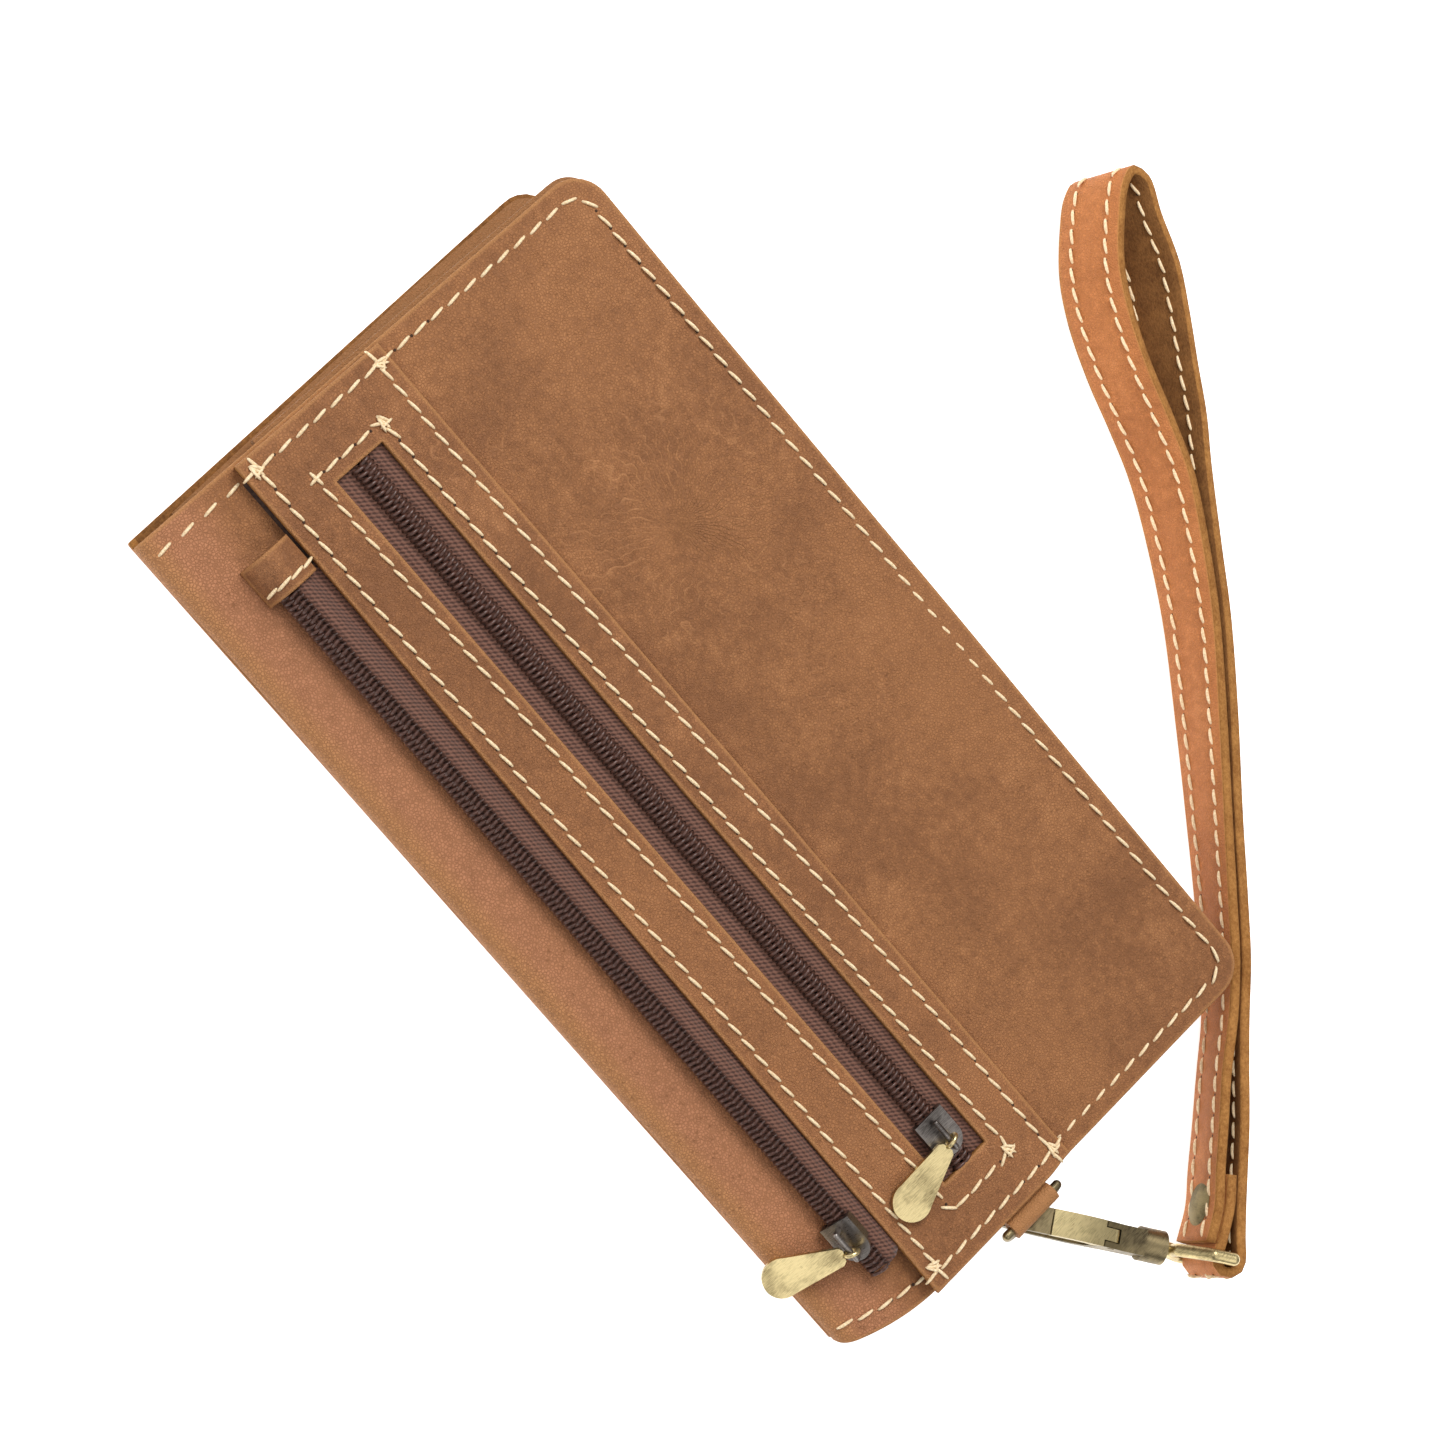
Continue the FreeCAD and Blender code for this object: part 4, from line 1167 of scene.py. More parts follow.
def swell(x: float, v: float) -> float:
    """Slow unevenness of the leather, in millimetres."""
    return (0.16 * math.sin(x * 0.045 + 1.3) * math.sin(v * 0.07 + 0.4)
            + 0.07 * math.sin(x * 0.11 + v * 0.06))


@dataclass
class Covers:
    """Front and back skins, each rolled round half of the spine."""

    palette: Palette
    plane: FrontPlane
    stitch_inset: float = 3.6
    pitch: float = 4.1
    round_over: float = 0.45
    corner: float = 7.0
    seam_corner: float = 4.4
    corner_steps: int = 8
    crest_v: float = -49.5
    draw_in: float = 6.5
    draw_length: float = 24.0
    draw_width: float = 40.0
    skew: float = 2.4
    back_gap: float = 0.02
    spine_v: float = -55.5
    seam_start: float = -51.0
    seam_bend: Sequence[float] = (-37.0, -40.0, -43.0, -46.0, -48.0, -50.0, -51.5)

    def front_profile(self) -> list[Vector]:
        """Outer profile from the middle of the spine up and over the front cover.

        Returns:
            The curve's points.
        """
        p = self.plane
        low, high = (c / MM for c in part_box("spine_leather"))
        mid = (low.z + high.z) / 2
        crest = p.at(0, self.crest_v)
        knots = [
            (0, low.y, mid), (0, low.y + 0.12, mid + 1.2), (0, low.y + 0.75, high.z - 0.75),
            (0, low.y + 1.75, high.z - 0.1), (0, crest.y, crest.z)]
        curve = spline(knots, 0.5)
        v = self.crest_v
        while v < p.half_v - 2.0:
            v += 1.5
            curve.append(p.at(0, min(v, p.half_v)))
        return curve + [p.at(0, p.half_v - inset) for inset in RIM]

    def back_profile(self, far_y: float) -> list[Vector]:
        """Outer profile from the middle of the spine down and under the back cover.

        Args:
            far_y: the back cover's free edge.

        Returns:
            The curve's points.
        """
        low, high = (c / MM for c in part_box("spine_leather"))
        mid = (low.z + high.z) / 2
        knots = [(0, low.y, mid), (0, low.y + 0.1, mid - 1.0), (0, low.y + 0.6, 0.75),
                 (0, low.y + 1.6, 0.08), (0, self.crest_v, self.back_gap)]
        curve = spline(knots, 0.5)
        y = self.crest_v
        while y < far_y - 2.0:
            y += 1.6
            curve.append(Vector((0, min(y, far_y), self.back_gap)))
        curve += [Vector((0, far_y - inset, self.back_gap)) for inset in RIM]
        return [q for i, q in enumerate(curve) if i == 0 or q.y >= curve[i - 1].y
                or q.z != curve[i - 1].z]

    def skin(self, name: str, curve: list[Vector], flip: float, x0: float, x1: float,
             skew: float = 0.0) -> bpy.types.Object:
        """One skin with round corners at its far end.

        Args:
            name: the object's name.
            curve: its outer profile.
            flip: 1 if its outer face is on the left of the profile, else -1.
            x0: its left end.
            x1: its right end.
            skew: how far its left end leans towards the right at the spine.

        Returns:
            The object.
        """
        profile = Profile(curve)
        length = profile.runs[-1]
        round_corner = rounded(x0, x1, length, self.corner)

        def lay(x: float, run: float) -> tuple[Vector, Vector]:
            """Place and normal of a flat point."""
            point, normal = profile.at(run)
            return Vector((x, point.y, point.z)), normal * flip

        def warp(a: float, b: float) -> Flat:
            """Round the far corners and draw in the corner by the ring.

            Args:
                a: place along X.
                b: length run from the spine.

            Returns:
                The moved point.
            """
            x, run = round_corner(a, b)
            share = (x1 - x) / (x1 - x0)
            near = max(0.0, 1.0 - b / self.draw_length)
            by_ring = max(0.0, (x - x1 + self.draw_width) / self.draw_width)
            pulled = x - self.draw_in * near * near * by_ring
            return pulled + skew * share * (1.0 - b / length), run

        def border(a: float, b: float) -> float:
            """Distance from the skin's edge.

            Args:
                a: place along X.
                b: length run from the spine.

            Returns:
                The distance, 0 at the edge.
            """
            x, _ = round_corner(a, b)
            over = max(b - (length - self.corner), 0.0)
            beside = max(abs(x - (x0 + x1) / 2) - (x1 - x0) / 2 + self.corner, 0)
            round_end = self.corner - math.hypot(over, beside) if over > 0 else math.inf
            return max(0.0, min(a - x0, x1 - a, length - b, round_end))

        sheet = Sheet(name, steps(x0, x1, 1.6, BORDER), profile.runs, lay, self.plane.leather,
                      self.round_over, warp=warp,
                      relief=lambda a, b: swell(a, b) if flip > 0 else 0.0,
                      border_distance=border)
        obj = sheet.build(self.palette.leather(Finish.GRAIN))
        return obj

    def build(self) -> None:
        """Make both skins, each shaped round its own crease, and hide the CAD covers that they
        replace.
        """
        p = self.plane
        front = self.skin("front_skin", self.front_profile(), 1.0, p.x0, p.x1)
        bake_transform(front)
        low, high = (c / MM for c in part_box("back_cover"))
        back = self.skin("back_skin", self.back_profile(high.y), -1.0, low.x, high.x, self.skew)
        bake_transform(back)
        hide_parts("front_cover", "spine_leather")
        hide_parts("back_cover")

    def seam(self) -> Line:
        """The stitch line round the free edge and both short ends of the front cover.

        Returns:
            The line, from the spine's left end to its right end.
        """
        p, i, r = self.plane, self.stitch_inset, self.seam_corner
        x0, x1, top = p.x0 + i, p.x1 - i, p.half_v - i
        flat = [(x0, self.seam_start), (x0, top - r)]
        for centre, turn in ((x0 + r, math.pi), (x1 - r, math.pi / 2)):
            for k in range(1, self.corner_steps):
                a = turn - k / self.corner_steps * math.pi / 2
                flat.append((centre + r * math.cos(a), top - r + r * math.sin(a)))
            flat.append((x1 - r, top) if turn == math.pi else (x1, top - r))
        flat.append((x1, self.seam_bend[0] + 3.0))
        for v in self.seam_bend:
            near = max(0.0, 1.0 - (v - self.spine_v) / self.draw_length)
            flat.append((x1 - self.draw_in * near * near - 0.2, v))
        return self.on_cover(flat, lambda v: 0.0)

    def seam_beside(self, band: "Band") -> list[Line]:
        """The stretches of the seam that the band doesn't cover.

        Args:
            band: the band.

        Returns:
            The stretches in order.
        """
        stretches: list[Line] = []
        current: Line = ([], [])
        for p, u in zip(*self.seam()):
            if p.y > band.top - 0.5 or p.y < band.low_left - 1.5:
                current[0].append(p)
                current[1].append(u)
            elif current[0]:
                stretches.append(current)
                current = ([], [])
        return stretches + [current] if current[0] else stretches

    def on_cover(self, flat: Sequence[Flat], height: Callable[[float], float]) -> Line:
        """Lift a flat line onto the cover, in short steps.

        Args:
            flat: the line's (x, v) points.
            height: height above the cover at a v.

        Returns:
            The line in space.
        """
        points: list[Vector] = []
        sunk = 0.05
        for (xa, va), (xb, vb) in zip(flat, flat[1:]):
            count = max(1, round(math.hypot(xb - xa, vb - va)))
            for k in range(count):
                x, v = xa + (xb - xa) * k / count, va + (vb - va) * k / count
                points.append(self.plane.at(x, v, height(v) + swell(x, v) - sunk))
        x, v = flat[-1]
        points.append(self.plane.at(x, v, height(v) - sunk))
        return points, [self.plane.up] * len(points)


@dataclass
class Band:
    """Raised leather strip with the zip window, and its stitching."""

    palette: Palette
    plane: FrontPlane
    x0: float = -99.4
    x1: float = 99.6
    low_left: float = -32.5
    low_right: float = -35.0
    top: float = 2.4
    knee: float = -4.6
    lift: float = 1.5
    thick: float = 1.4
    window: tuple[float, float, float, float] = (-85.7, 85.5, -20.4, -9.3)
    foot: float = -34.0
    row_top: float = 2.8
    row_low: float = 2.9
    row_window: float = 2.5
    row_left: float = 2.8
    row_right: float = 4.8
    groove: float = 0.12
    groove_half: float = 0.9
    end_width: float = 2.6
    far: float = 9.0

    def height(self, v: float) -> float:
        """Outer face of the band over the cover."""
        share = min(max((self.top - v) / (self.top - self.knee), 0.0), 1.0)
        return self.thick + self.lift * share * share * (3 - 2 * share)

    def low_edge(self, x: float) -> float:
        """The band's lower edge, which runs a little askew."""
        share = (x - self.x0) / (self.x1 - self.x0)
        return self.low_left + (self.low_right - self.low_left) * share

    def build(self) -> None:
        """Make the band."""
        w0, w1, v0, v1 = self.window
        a = sorted(set(steps(self.x0, self.x1, 1.6, BORDER))
                   | {w0, w1} | {w0 - i for i in BORDER} | {w1 + i for i in BORDER})
        b = sorted(set(steps(self.foot, self.top, 1.2, BORDER))
                   | {v0, v1} | {v0 - i for i in BORDER} | {v1 + i for i in BORDER})
        fixed = v0 - BORDER[-1]

        def warp(x: float, v: float) -> Flat:
            """Stretch the part below the window down to the askew edge."""
            share = min(max((fixed - v) / (fixed - self.foot), 0.0), 1.0)
            return x, v + (self.low_edge(x) - self.foot) * share

        def relief(x: float, v: float) -> float:
            """Unevenness, with a shallow groove under each row of stitches.

            Args:
                x: place along X.
                v: place across.

            Returns:
                The height in millimetres.
            """
            beside = w0 - 3 < x < w1 + 4
            seam = min(abs(v - self.top + self.row_top), abs(v - self.low_edge(x) - self.row_low),
                       abs(v - v1 - self.row_window) if beside else self.far,
                       abs(v - v0 + self.row_window) if beside else self.far)
            return swell(x, v) - self.groove * max(0.0, 1.0 - seam / self.groove_half)

        def lay(x: float, v: float) -> tuple[Vector, Vector]:
            """Place and normal of a flat point.

            Args:
                x: place along X.
                v: place across.

            Returns:
                The place and the normal.
            """
            step = 0.2
            slope = (self.height(v + step) - self.height(v - step)) / (2 * step)
            tilt = self.plane.angle + math.atan(slope)
            normal = Vector((0, -math.sin(tilt), math.cos(tilt)))
            return self.plane.at(x, v, self.height(v)), normal

        sheet = Sheet("band_skin", a, b, lay, self.thick, 0.45, holes=[self.window], warp=warp,
                      relief=relief)
        obj = sheet.build(self.palette.leather(Finish.BAND))
        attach(obj, "front_cover")
        self.wall("left", self.x0)
        self.wall("right", self.x1 - self.end_width)
        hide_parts("pocket_band")

    def wall(self, side: str, x: float) -> None:
        """Leather filling under one end of the band.

        Args:
            side: which end, for its name.
            x: its left side.
        """
        low, top = self.low_edge(x) + 0.3, self.lift - 0.05
        corners = [self.plane.at(x + dx, v, w)
                   for dx in (0.15, self.end_width - 0.15)
                   for v, w in ((low, 0.02), (self.knee, 0.02), (self.knee, top), (low, top))]
        obj = make_object(f"band_end_{side}", corners, tube_faces(2, 4),
                          [self.palette.get(Finish.CUT_EDGE)], False)
        outward(obj)
        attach(obj, "front_cover")

    def rows(self, covers: Covers) -> dict[str, list[Line]]:
        """Stitch rows of the band.

        Args:
            covers: the covers, which give the inset and the surface.

        Returns:
            The rows along its edges, and the row round the window.
        """
        w0, w1, v0, v1 = self.window
        left, right = self.plane.x0 + covers.stitch_inset, self.plane.x1 - covers.stitch_inset
        upper = self.top - self.row_top
        low_left, low_right = self.low_edge(left), self.low_edge(right)
        edge = [
            [(right + 1.6, upper), (left - 1.6, upper)],
            [(left - 1.0, low_left + self.row_low), (right + 1.0, low_right + self.row_low)],
            [(left, low_left + 1.0), (left, self.top - 1.0)],
            [(right, self.top - 1.0), (right, low_right + 1.0)]]
        x0, x1 = w0 - self.row_left, w1 + self.row_right
        y0, y1 = v0 - self.row_window, v1 + self.row_window
        box = [(x0, y0), (x0, y1), (x1, y1), (x1, y0), (x0, y0)]
        return {"edge": [covers.on_cover(row, self.height) for row in edge],
                "window": [covers.on_cover(box, self.height)]}

    def tacks(self) -> list[tuple[Vector, float]]:
        """Places and turns of the thread knots at the band's corners.

        Returns:
            The place and turn of each.
        """
        upper, beside = self.top - 2.4, self.window[3] + 2.4
        flat = ((-96.3, self.low_left + 2.4, 0.4), (95.2, self.low_right + 2.6, 0.9),
                (-96.3, upper, 1.1), (96.2, upper, 0.2), (89.8, beside, 0.5), (-88.2, beside, 0.2))
        return [(self.plane.at(x, v, self.height(v) + 0.1), turn) for x, v, turn in flat]


@dataclass
class Zips:
    """Tapes and coils of the window zip and of the lower zip that stands as a lip."""

    palette: Palette
    plane: FrontPlane
    band: Band
    repeat: PathRepeat
    chain_v: float = -14.9
    lip_v: float = -40.0
    lip_w: float = 2.7
    tilt: float = math.radians(45.0)
    tape: float = 0.4
    tooth_pitch: float = 1.12
    narrowest_sheet: float = 10.0
    wave: float = 0.10
    hem: float = 3.5
    jitter: float = 0.03

    def on_lip(self, across: float, normal: float) -> Flat:
        """Flat (v, w) of a point given across and above the lip's chain."""
        c, s = math.cos(self.tilt), math.sin(self.tilt)
        return (self.lip_v + across * c - normal * s, self.lip_w + across * s + normal * c)

    def strip(self, name: str, node: str, knots: Sequence[tuple[float, float]], x0: float,
              x1: float, facing: float = 1.0) -> bpy.types.Object:
        """A bent strip of tape drawn out along X.

        Args:
            name: the new object's name.
            node: the CAD node that it replaces.
            knots: flat (v, w) points of its section.
            x0: its left end.
            x1: its right end.
            facing: 1 if the outer face is on the left of the section's run, else -1.

        Returns:
            The object.
        """
        profile = Profile(spline([(0, v, w) for v, w in knots], 0.4))
        width = profile.runs[-1]

        def lay(x: float, run: float) -> tuple[Vector, Vector]:
            """Place and normal of a flat point.

            Args:
                x: place along X.
                run: length run across the tape.

            Returns:
                The place, on slightly wavy cloth, and the normal.
            """
            point, flat = profile.at(run)
            wave = self.wave * math.sin(x * 0.21) * math.sin(run * 0.8)
            place = self.plane.at(x, point.y, point.z + wave)
            return place, self.plane.turn(flat) * facing

        sheet = Sheet(name, steps(x0, x1, 1.6), profile.runs, lay, self.tape, 0.0)
        finish = self.palette.get(Finish.TAPE)
        obj = sheet.build([finish, finish, finish])
        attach(obj, "front_cover")
        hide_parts(node)
        LOG.info("%s is %.1f mm across and %.1f mm long", name, width, x1 - x0)
        if width >= self.narrowest_sheet:
            (x1 - x0) * MM
        return obj

    def tooth(self, side: float) -> bpy.types.Object:
        """One loop of a half coil, lying across the chain.

        Args:
            side: 1 for the upper half, -1 for the lower.

        Returns:
            The object.
        """
        loop = ((0.0, 1.95, 0.15), (0.02, 2.12, 0.55), (0.05, 1.85, 1.0), (0.12, 1.2, 1.3),
                (0.22, 0.45, 1.28), (0.32, -0.15, 1.05), (0.36, -0.3, 0.6))
        radii = [0.30, 0.34, 0.37, 0.38, 0.37, 0.34, 0.28]
        name = f"tooth_{'upper' if side > 0 else 'lower'}"
        return small_tube(name, [(x, side * y, z) for x, y, z in loop], radii, 7)

    def line(self, x0: float, x1: float, lip: bool) -> Line:
        """Middle line of a chain and its normals.

        Args:
            x0: its left end.
            x1: its right end.
            lip: whether it is the lower zip's chain.

        Returns:
            The line.
        """
        v, w, normal = self.chain_v, self.band.lift, Vector((0, 0, 1))
        if lip:
            v, w = self.lip_v, self.lip_w
            normal = Vector((0, -math.sin(self.tilt), math.cos(self.tilt)))
        count = round(x1 - x0)
        points = [self.plane.at(x0 + (x1 - x0) * k / count, v, w) for k in range(count + 1)]
        return points, [self.plane.turn(normal)] * len(points)

    def coil(self, name: str, x0: float, x1: float, lip: bool, nodes: tuple[str, str]) -> None:
        """Both halves of a chain, interlocked by half a pitch.

        Args:
            name: base name of the objects.
            x0: left end.
            x1: right end.
            lip: whether it is the lower zip's chain.
            nodes: CAD nodes of the upper and lower half.
        """
        finish = self.palette.get(Finish.COIL)
        halves = (("upper", 1.0, 0.0), ("lower", -1.0, self.tooth_pitch / 2))
        for node, (half, side, shift) in zip(nodes, halves):
            piece = self.tooth(side)
            obj = self.repeat.run(f"{name}_{half}", [self.line(x0 + shift, x1, lip)],
                                  piece, self.tooth_pitch, finish, self.jitter, 5)
            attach(obj, "front_cover")
            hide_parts(node)
            bpy.data.objects.remove(piece)

    def build(self) -> None:
        """Make tapes and coils."""
        w0, w1, v0, v1 = self.band.window
        flat = self.band.lift
        left, right = w0 - self.hem, w1 + self.hem
        upper = [(self.chain_v + 0.3, flat), (self.chain_v + 2.4, flat + 0.05),
                 (v1 - 2.2, flat + 0.18), (v1 + 3.4, flat - 0.05)]
        self.strip("window_tape_upper_cloth", "window_tape_upper", upper, left, right)
        lower = [(v0 - 3.4, flat - 0.05), (v0 + 1.6, flat + 0.1),
                 (self.chain_v - 2.2, flat + 0.03), (self.chain_v - 0.3, flat)]
        self.strip("window_tape_lower_cloth", "window_tape_lower", lower, left, right)
        low, high = (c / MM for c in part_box("lower_tape_upper"))
        over = [self.on_lip(-0.1, 0.0), self.on_lip(1.2, 0.02), self.on_lip(2.5, 0.12),
                (-36.9, 4.35), (-35.6, 2.9), (-34.2, 1.55), (-31.0, flat - 0.05),
                (-29.2, flat - 0.05)]
        self.strip("lower_tape_upper_cloth", "lower_tape_upper", over, low.x, high.x)
        under = [(-30.0, 0.62), (-39.0, 0.62), (-41.2, 0.7), self.on_lip(-2.2, 0.0),
                 self.on_lip(0.1, 0.0)]
        self.strip("lower_tape_lower_cloth", "lower_tape_lower", under, low.x, high.x, -1.0)
        self.coil("window_chain", w0 + 0.3, w1 - 0.3, False,
                  ("window_coil_upper", "window_coil_lower"))
        self.coil("lower_chain", low.x + 0.5, high.x, True,
                  ("lower_coil_upper", "lower_coil_lower"))


@dataclass
class EndTab:
    """Leather folded over the left end of the lower zip, with one row of stitches."""

    palette: Palette
    plane: FrontPlane
    zips: Zips
    thick: float = 1.0
    round_over: float = 0.4
    row_inset: float = 2.0

    def curve(self) -> list[Vector]:
        """Outer profile across the zip.

        Returns:
            The curve's flat points.
        """
        z = self.zips
        knots = [(-33.4, 3.15), (-34.8, 4.6), z.on_lip(3.1, 1.7), z.on_lip(1.4, 2.5),
                 z.on_lip(-0.6, 2.5), z.on_lip(-2.2, 1.9), (-43.6, 0.9), (-44.1, 0.45)]
        return spline([(0, v, w) for v, w in knots], 0.5)

    def build(self) -> list[Line]:
        """Make the tab.

        Returns:
            Its one row of stitches.
        """
        low, high = (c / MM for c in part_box("zip_end_tab"))
        profile = Profile(self.curve())

        def lay(x: float, run: float) -> tuple[Vector, Vector]:
            """Place and normal of a flat point."""
            point, flat = profile.at(run)
            return self.plane.at(x, point.y, point.z), -self.plane.turn(flat)

        sheet = Sheet("zip_end_tab_skin", steps(low.x, high.x, 1.0, BORDER), profile.runs, lay,
                      self.thick, self.round_over)
        obj = sheet.build(self.palette.leather(Finish.BAND))
        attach(obj, "front_cover")
        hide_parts("zip_end_tab")
        row = [lay(high.x - self.row_inset, run) for run in profile.runs[3:-6]]
        return [([place for place, _ in row], [normal for _, normal in row])]


@dataclass
class Strap:
    """Wrist strap: one leather strip whose halves lie together, standing on its edge."""

    palette: Palette
    width: float = 14.6
    thick: float = 2.0
    bar_radius: float = 1.25
    bar_gap: float = 0.3
    direction: Flat = (-0.8067, 0.5910)
    lean: Sequence[Flat] = (
        (-69.0, -3.0), (-48.0, -1.6), (-25.0, -0.3), (-8.0, 1.0), (13.0, 2.8), (34.0, 4.5),
        (50.0, 6.0), (61.0, 6.3), (82.0, 7.0), (102.0, 7.0))
    near: Sequence[Flat] = (
        (-100.0, 87.3), (-93.5, 90.35), (-87.0, 92.1), (-79.0, 94.6), (-69.0, 97.6), (-58.0, 101.2),
        (-48.0, 103.1), (-35.0, 104.2), (-17.0, 105.5), (0.0, 106.6), (20.0, 107.6), (34.0, 107.2),
        (50.0, 105.6), (61.0, 102.6), (71.0, 99.4), (82.0, 96.9), (92.0, 96.2), (102.0, 97.8),
        (108.5, 99.8), (111.2, 102.2))
    far: Sequence[Flat] = (
        (109.5, 104.8), (102.0, 106.4), (92.0, 109.0), (82.0, 109.7), (71.0, 110.0), (61.0, 110.4),
        (50.0, 109.9), (34.0, 110.0), (20.0, 110.2), (0.0, 109.2), (-17.0, 107.9), (-35.0, 106.7),
        (-48.0, 105.6), (-58.0, 103.8), (-69.0, 101.6), (-79.0, 99.2), (-87.0, 96.9),
        (-93.5, 95.1), (-100.0, 93.6))
    wrap: Sequence[float] = (105.0, 140.0, 180.0, 220.0, 262.0)
    tuck: Sequence[Flat] = ((-100.0, 89.75), (-93.5, 92.75), (-88.0, 94.25))
    held_to: float = -100.0
    held_fade: float = 40.0
    lift_from: float = -50.0
    lift_length: float = -50.0
    corner: float = 0.35
    groove_at: float = 3.3
    groove_half: float = 0.3
    groove: float = 0.08
    crown: float = 0.05
    pitch: float = 4.0
    sewn_from: int = 2
    sewn_short: int = 14

    def plan(self, d: float, n: float) -> Vector:
        """Plan place of a point along and across the strap's direction."""
        dx, dy = self.direction
        return Vector((d * dx + n * dy, d * dy - n * dx, 0))

    def leaning(self, d: float) -> float:
        """Lean of the top edge away from the wallet.

        Args:
            d: place along the strap's direction.

        Returns:
            The lean in millimetres.
        """
        table = self.lean
        if d <= table[0][0]:
            return table[0][1]
        for (d0, a), (d1, b) in zip(table, table[1:]):
            if d <= d1:
                return a + (b - a) * (d - d0) / (d1 - d0)
        return table[-1][1]

    def axis(self, d: float, up: Vector) -> Vector:
        """Unit vector across the strap's width.

        Args:
            d: place along the strap's direction.
            up: the eye's bar, which the near end follows.

        Returns:
            The vector.
        """
        angle = math.asin(self.leaning(d) / self.width)
        dx, dy = self.direction
        free = Vector((dy * math.sin(angle), -dx * math.sin(angle), math.cos(angle)))
        share = min(max((d - self.held_to) / self.held_fade, 0.0), 1.0)
        return (up * (1 - share) + free * share).normalized()

    def sections(self) -> list[tuple[Vector, Vector, Vector]]:
        """Sections along the strip.

        Returns:
            Each section's centre, width axis and outward face direction.
        """
        joint = next(j for j in frame["joints"] if j["name"] == "strap_swing")
        up, bar = Vector(joint["axis"]), Vector(joint["pos_m"]) / MM
        dx, dy = self.direction
        e = (bar.x * dx + bar.y * dy, bar.x * dy - bar.y * dx)
        r = self.bar_radius + self.bar_gap + self.thick / 2
        wrap = [(e[0] + r * math.cos(math.radians(a)), e[1] + r * math.sin(math.radians(a)))
                for a in self.wrap]
        knots = list(self.near) + list(self.far) + wrap + list(self.tuck)
        line = spline([(d, n, 0) for d, n in knots], 1.3)
        out = []
        for i, p in enumerate(line):
            before, after = line[max(i - 1, 0)], line[min(i + 1, len(line) - 1)]
            run = self.plan(after.x, after.y) - self.plan(before.x, before.y)
            axis = self.axis(p.x, up)
            share = min(max((p.x - self.lift_from) / self.lift_length, 0.0), 1.0)
            share = share * share * (3 - 2 * share)
            tilt = math.sqrt(max(1 - axis.z ** 2, 0.0))
            centre = self.plan(p.x, p.y)
            lying = 0.02 + self.width / 2 * axis.z + self.thick / 2 * tilt
            held = bar.z - (up.x * (centre.x - bar.x) + up.y * (centre.y - bar.y)) / up.z
            centre.z = lying * (1 - share) + held * share
            out.append((centre, axis, run.cross(axis).normalized()))
        return out

    def outline(self) -> list[tuple[float, float, int]]:
        """The strip's section, round its edge.

        Returns:
            The place across and through, and the slot of the face that follows each corner.
        """
        w, t, c = self.width / 2, self.thick / 2, self.corner
        inner, outer = self.groove_at - self.groove_half, self.groove_at + self.groove_half
        sunk = t - self.groove
        grain, suede, edge = 0, 1, 2
        return [(c - w, t, suede), (inner - w, t, suede), (self.groove_at - w, sunk, suede),
                (outer - w, t, suede), (0, t + self.crown, suede), (w - outer, t, suede),
                (w - self.groove_at, sunk, suede), (w - inner, t, suede), (w - c, t, edge),
                (w, t - c, edge), (w, c - t, edge), (w - c, -t, grain), (0, -t, grain),
                (c - w, -t, edge), (-w, c - t, edge), (-w, t - c, edge)]

    def build(self, stitcher: Stitcher) -> None:
        """Make the strip and sew its two rows.

        Args:
            stitcher: sews the rows on both faces.
        """
        sections, outline = self.sections(), self.outline()
        verts = [centre + axis * w + out * t
                 for centre, axis, out in sections for w, t, _ in outline]
        slots = [slot for _, _, slot in outline] * (len(sections) - 1) + [2, 2]
        finishes = (Finish.STRAP, Finish.SUEDE, Finish.CUT_EDGE)
        obj = make_object("wrist_strap_leather", verts, tube_faces(len(sections), len(outline)),
                          [self.palette.get(finish) for finish in finishes], True, slots)
        store_edge(obj, [self.width / 2 - abs(w) for w, _, _ in outline] * len(sections))
        outward(obj)
        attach(obj, "wrist_strap")
        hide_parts("wrist_strap")
        across = self.width / 2 - self.groove_at
        sewn = sections[self.sewn_from:len(sections) - self.sewn_short]
        lines = [([c + a * w + o * face * (self.thick / 2 - 0.05) for c, a, o in sewn],
                  [o * face for _, _, o in sewn])
                 for w in (-across, across) for face in (1.0, -1.0)]
        stitcher.sew("strap", "wrist_strap", lines, self.pitch, 9)


class Hardware:
    """Dresses the metal CAD pieces and the inner leather."""

    def __init__(self, palette: Palette) -> None:
        """List the finish of every CAD node that shows.

        Args:
            palette: the materials.
        """
        self.palette = palette
        self.by_node: dict[str, Finish] = {}
        for names, finish in (
            (("window_slider", "lower_slider"), Finish.GUNMETAL),
            (("window_pull", "lower_pull", "swivel_eye", "hook_gate"), Finish.BRASS),
            (("d_ring", "snap_hook_body", "gate_pin"), Finish.OLD_BRASS),
            (("strap_rivet_cap", "strap_rivet_base"), Finish.KHAKI),
            (("gate_spring",), Finish.STEEL),
            (("back_inner_panel", "card_pocket_upper", "card_pocket_middle", "card_pocket_lower",
              "front_inner_panel", "note_pocket_panel"), Finish.INNER),
            (("d_ring_tab",), Finish.BAND),
            (("window_pocket_lining", "lower_pocket_lining"), Finish.LINING),
        ):
            self.by_node.update({name: finish for name in names})

    def dress(self) -> None:
        """Give every visible CAD node its material."""
        for name, finish in self.by_node.items():
            node = frame["nodes"][name]
            node.data.materials.clear()
            node.data.materials.append(self.palette.get(finish))


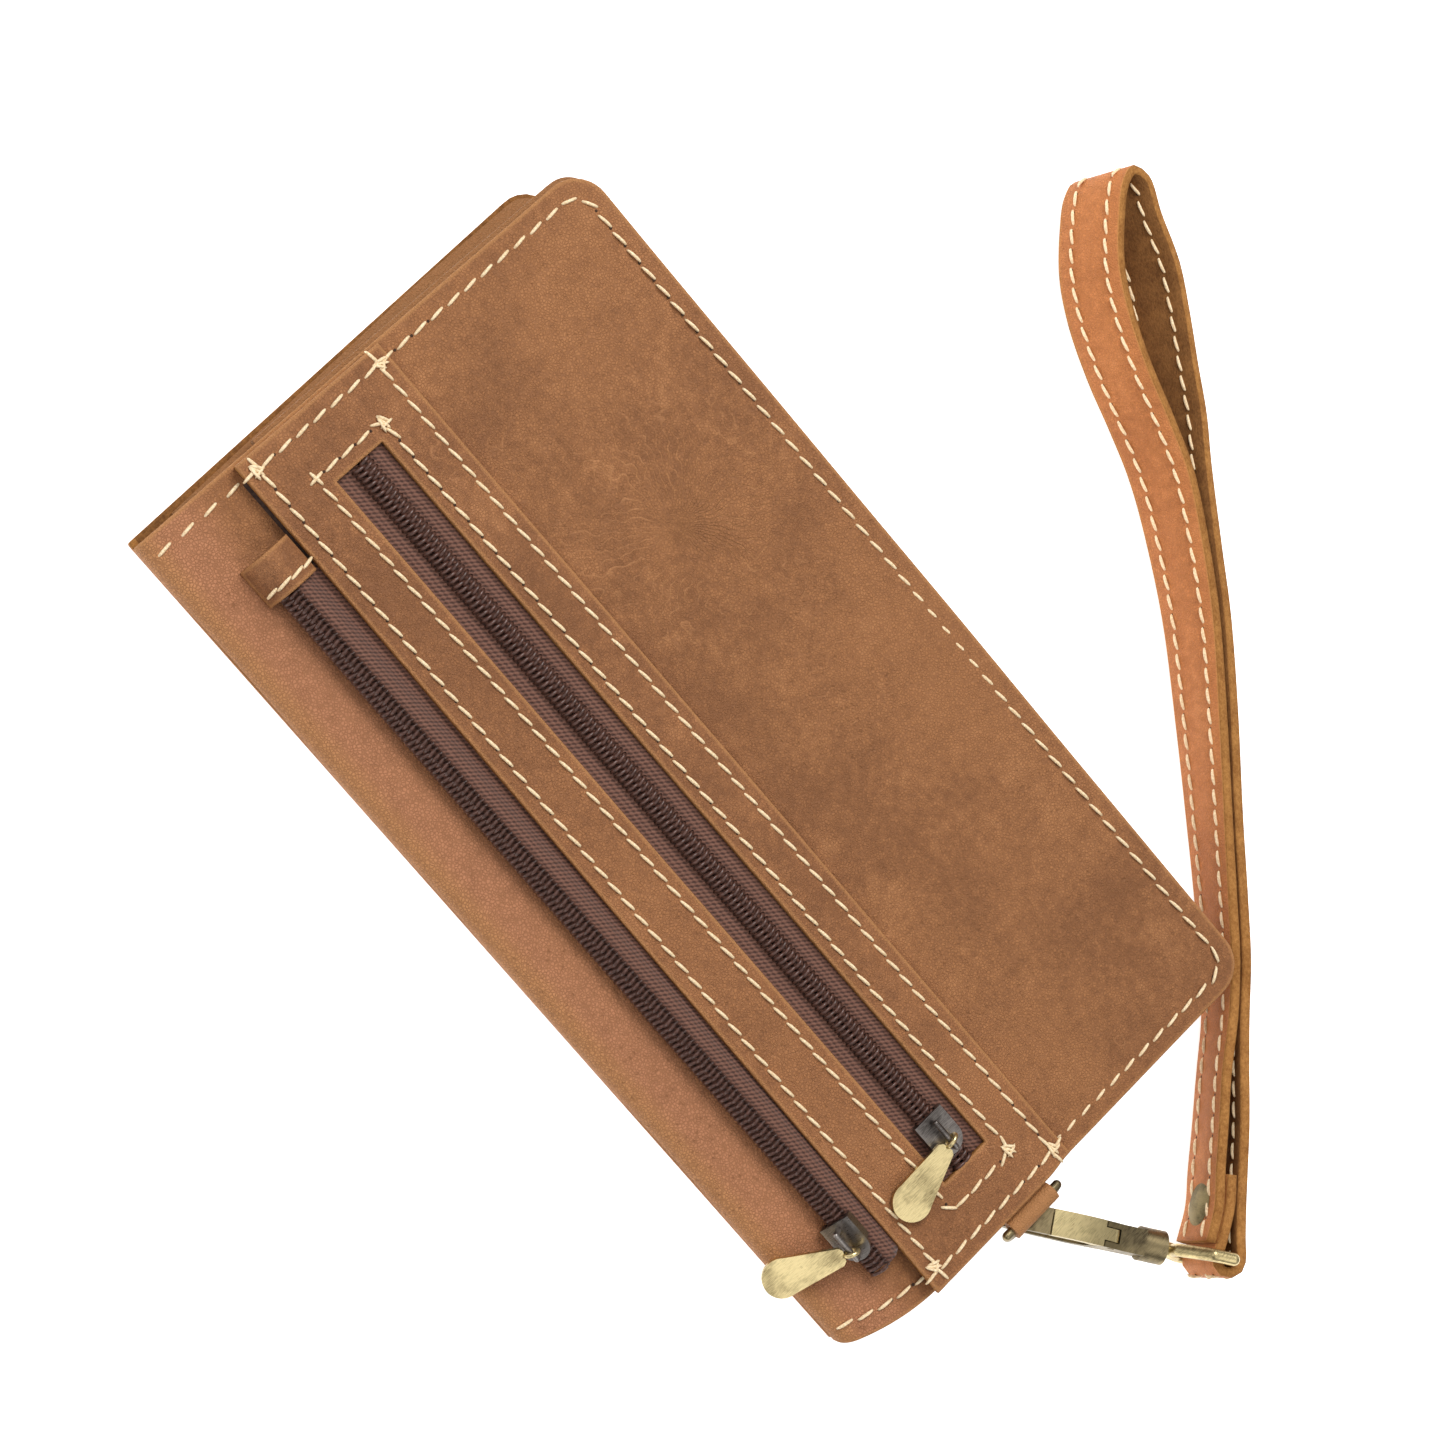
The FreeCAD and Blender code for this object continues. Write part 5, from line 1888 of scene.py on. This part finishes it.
@dataclass
class Studio:
    """Floor, soft light and camera."""

    camera_at: tuple[float, float, float] = (-110.42, -221.58, 559.61)
    camera_x: tuple[float, float, float] = (0.6396, 0.6590, 0.3957)
    camera_y: tuple[float, float, float] = (-0.7489, 0.6504, 0.1273)
    camera_z: tuple[float, float, float] = (-0.1735, -0.3778, 0.9095)
    lens: float = 81.39
    sensor: float = 36.0
    floor_size: float = 3000.0

    def floor(self) -> None:
        """A wide pale floor."""
        corners = [Vector((x, y, 0)) * self.floor_size
                   for x, y in ((-1, -1), (1, -1), (1, 1), (-1, 1))]
        surface = Surface("floor")
        surface.set(Base_Color=(0.93, 0.93, 0.93), Roughness=0.9, Specular_IOR_Level=0.0,
                    Emission_Color=(1.0, 1.0, 1.0), Emission_Strength=0.80)
        make_object("floor", corners, [[0, 1, 2, 3]], [surface.material], False)

    def lights(self) -> None:
        """One big soft light over the object, a low fill, and a bright surround."""
        for name, place, size, power in (
                ("key", (-350, 420, 850), 600, 8.2), ("fill", (500, -300, 700), 700, 1.6),
                ("front", (-500, -500, 500), 600, 1.4)):
            data = bpy.data.lights.new(name, "AREA")
            data.size = size * MM
            data.energy = power
            light = bpy.data.objects.new(name, data)
            at = Vector(place) * MM
            turn = at.to_track_quat("Z", "Y").to_matrix().to_4x4()
            light.matrix_world = Matrix.Translation(at) @ turn
            bpy.context.scene.collection.objects.link(light)
        world = bpy.data.worlds.new("surround")
        world.use_nodes = True
        background = next(n for n in world.node_tree.nodes if n.type == "BACKGROUND")
        g = Graph(world.node_tree)
        high = g.split(g.add("ShaderNodeTexCoord", None, None, out="Generated"), "Z")
        shade = g.mix(high.ramp(0.05, 0.85), (0.16, 0.16, 0.16), (1.0, 1.0, 1.0))
        world.node_tree.links.new(shade.socket, background.inputs["Color"])
        background.inputs["Strength"].default_value = 0.50
        bpy.context.scene.world = world

    def camera(self) -> None:
        """The camera, at the set place and turn."""
        data = bpy.data.cameras.new("camera")
        data.lens = self.lens
        data.sensor_width = self.sensor
        data.sensor_height = self.sensor
        data.sensor_fit = "HORIZONTAL"
        data.clip_start = 0.01
        obj = bpy.data.objects.new("camera", data)
        rows = Matrix((self.camera_x, self.camera_y, self.camera_z)).transposed()
        obj.matrix_world = Matrix.Translation(Vector(self.camera_at) * MM) @ rows.to_4x4()
        bpy.context.scene.collection.objects.link(obj)
        bpy.context.scene.camera = obj
        bpy.context.scene.view_settings.view_transform = "Standard"

    def build(self) -> None:
        """Make the whole studio."""
        self.floor()
        self.lights()
        self.camera()


def report_pieces() -> None:
    """Log every mesh piece with its face count and its size in millimetres."""
    for obj in sorted(bpy.data.objects, key=lambda o: o.name):
        if obj.type == "MESH":
            size = obj.dimensions / MM
            LOG.info("%s: %d faces, %.1f x %.1f x %.1f mm", obj.name, len(obj.data.polygons), *size)


def main() -> None:
    """Build the wallet, dress it and light it."""
    logging.basicConfig(level=logging.INFO, format="%(name)s %(message)s")
    palette, repeat = Palette(), PathRepeat()
    plane = FrontPlane.measure()
    LOG.info("front plane slope %.3f deg, half width %.2f", math.degrees(plane.angle), plane.half_v)
    stitcher = Stitcher(palette, repeat)
    covers = Covers(palette, plane)
    covers.build()
    band = Band(palette, plane)
    band.build()
    zips = Zips(palette, plane, band, repeat)
    zips.build()
    tab_row = EndTab(palette, plane, zips).build()
    rows = band.rows(covers)
    stitcher.sew("cover", "front_cover", covers.seam_beside(band), covers.pitch, 3)
    stitcher.sew("band", "front_cover", rows["edge"], 3.75, 4)
    stitcher.sew("window", "front_cover", rows["window"], 3.75, 5)
    stitcher.sew("end_tab", "front_cover", tab_row, 2.6, 6)
    for k, (place, turn) in enumerate(band.tacks()):
        stitcher.knot(f"thread_knot_{k}", "front_cover", place, plane.up, turn)
    Strap(palette).build(stitcher)
    stitcher.done()
    Hardware(palette).dress()
    Studio().build()
    report_pieces()


if __name__ == "__main__":
    main()
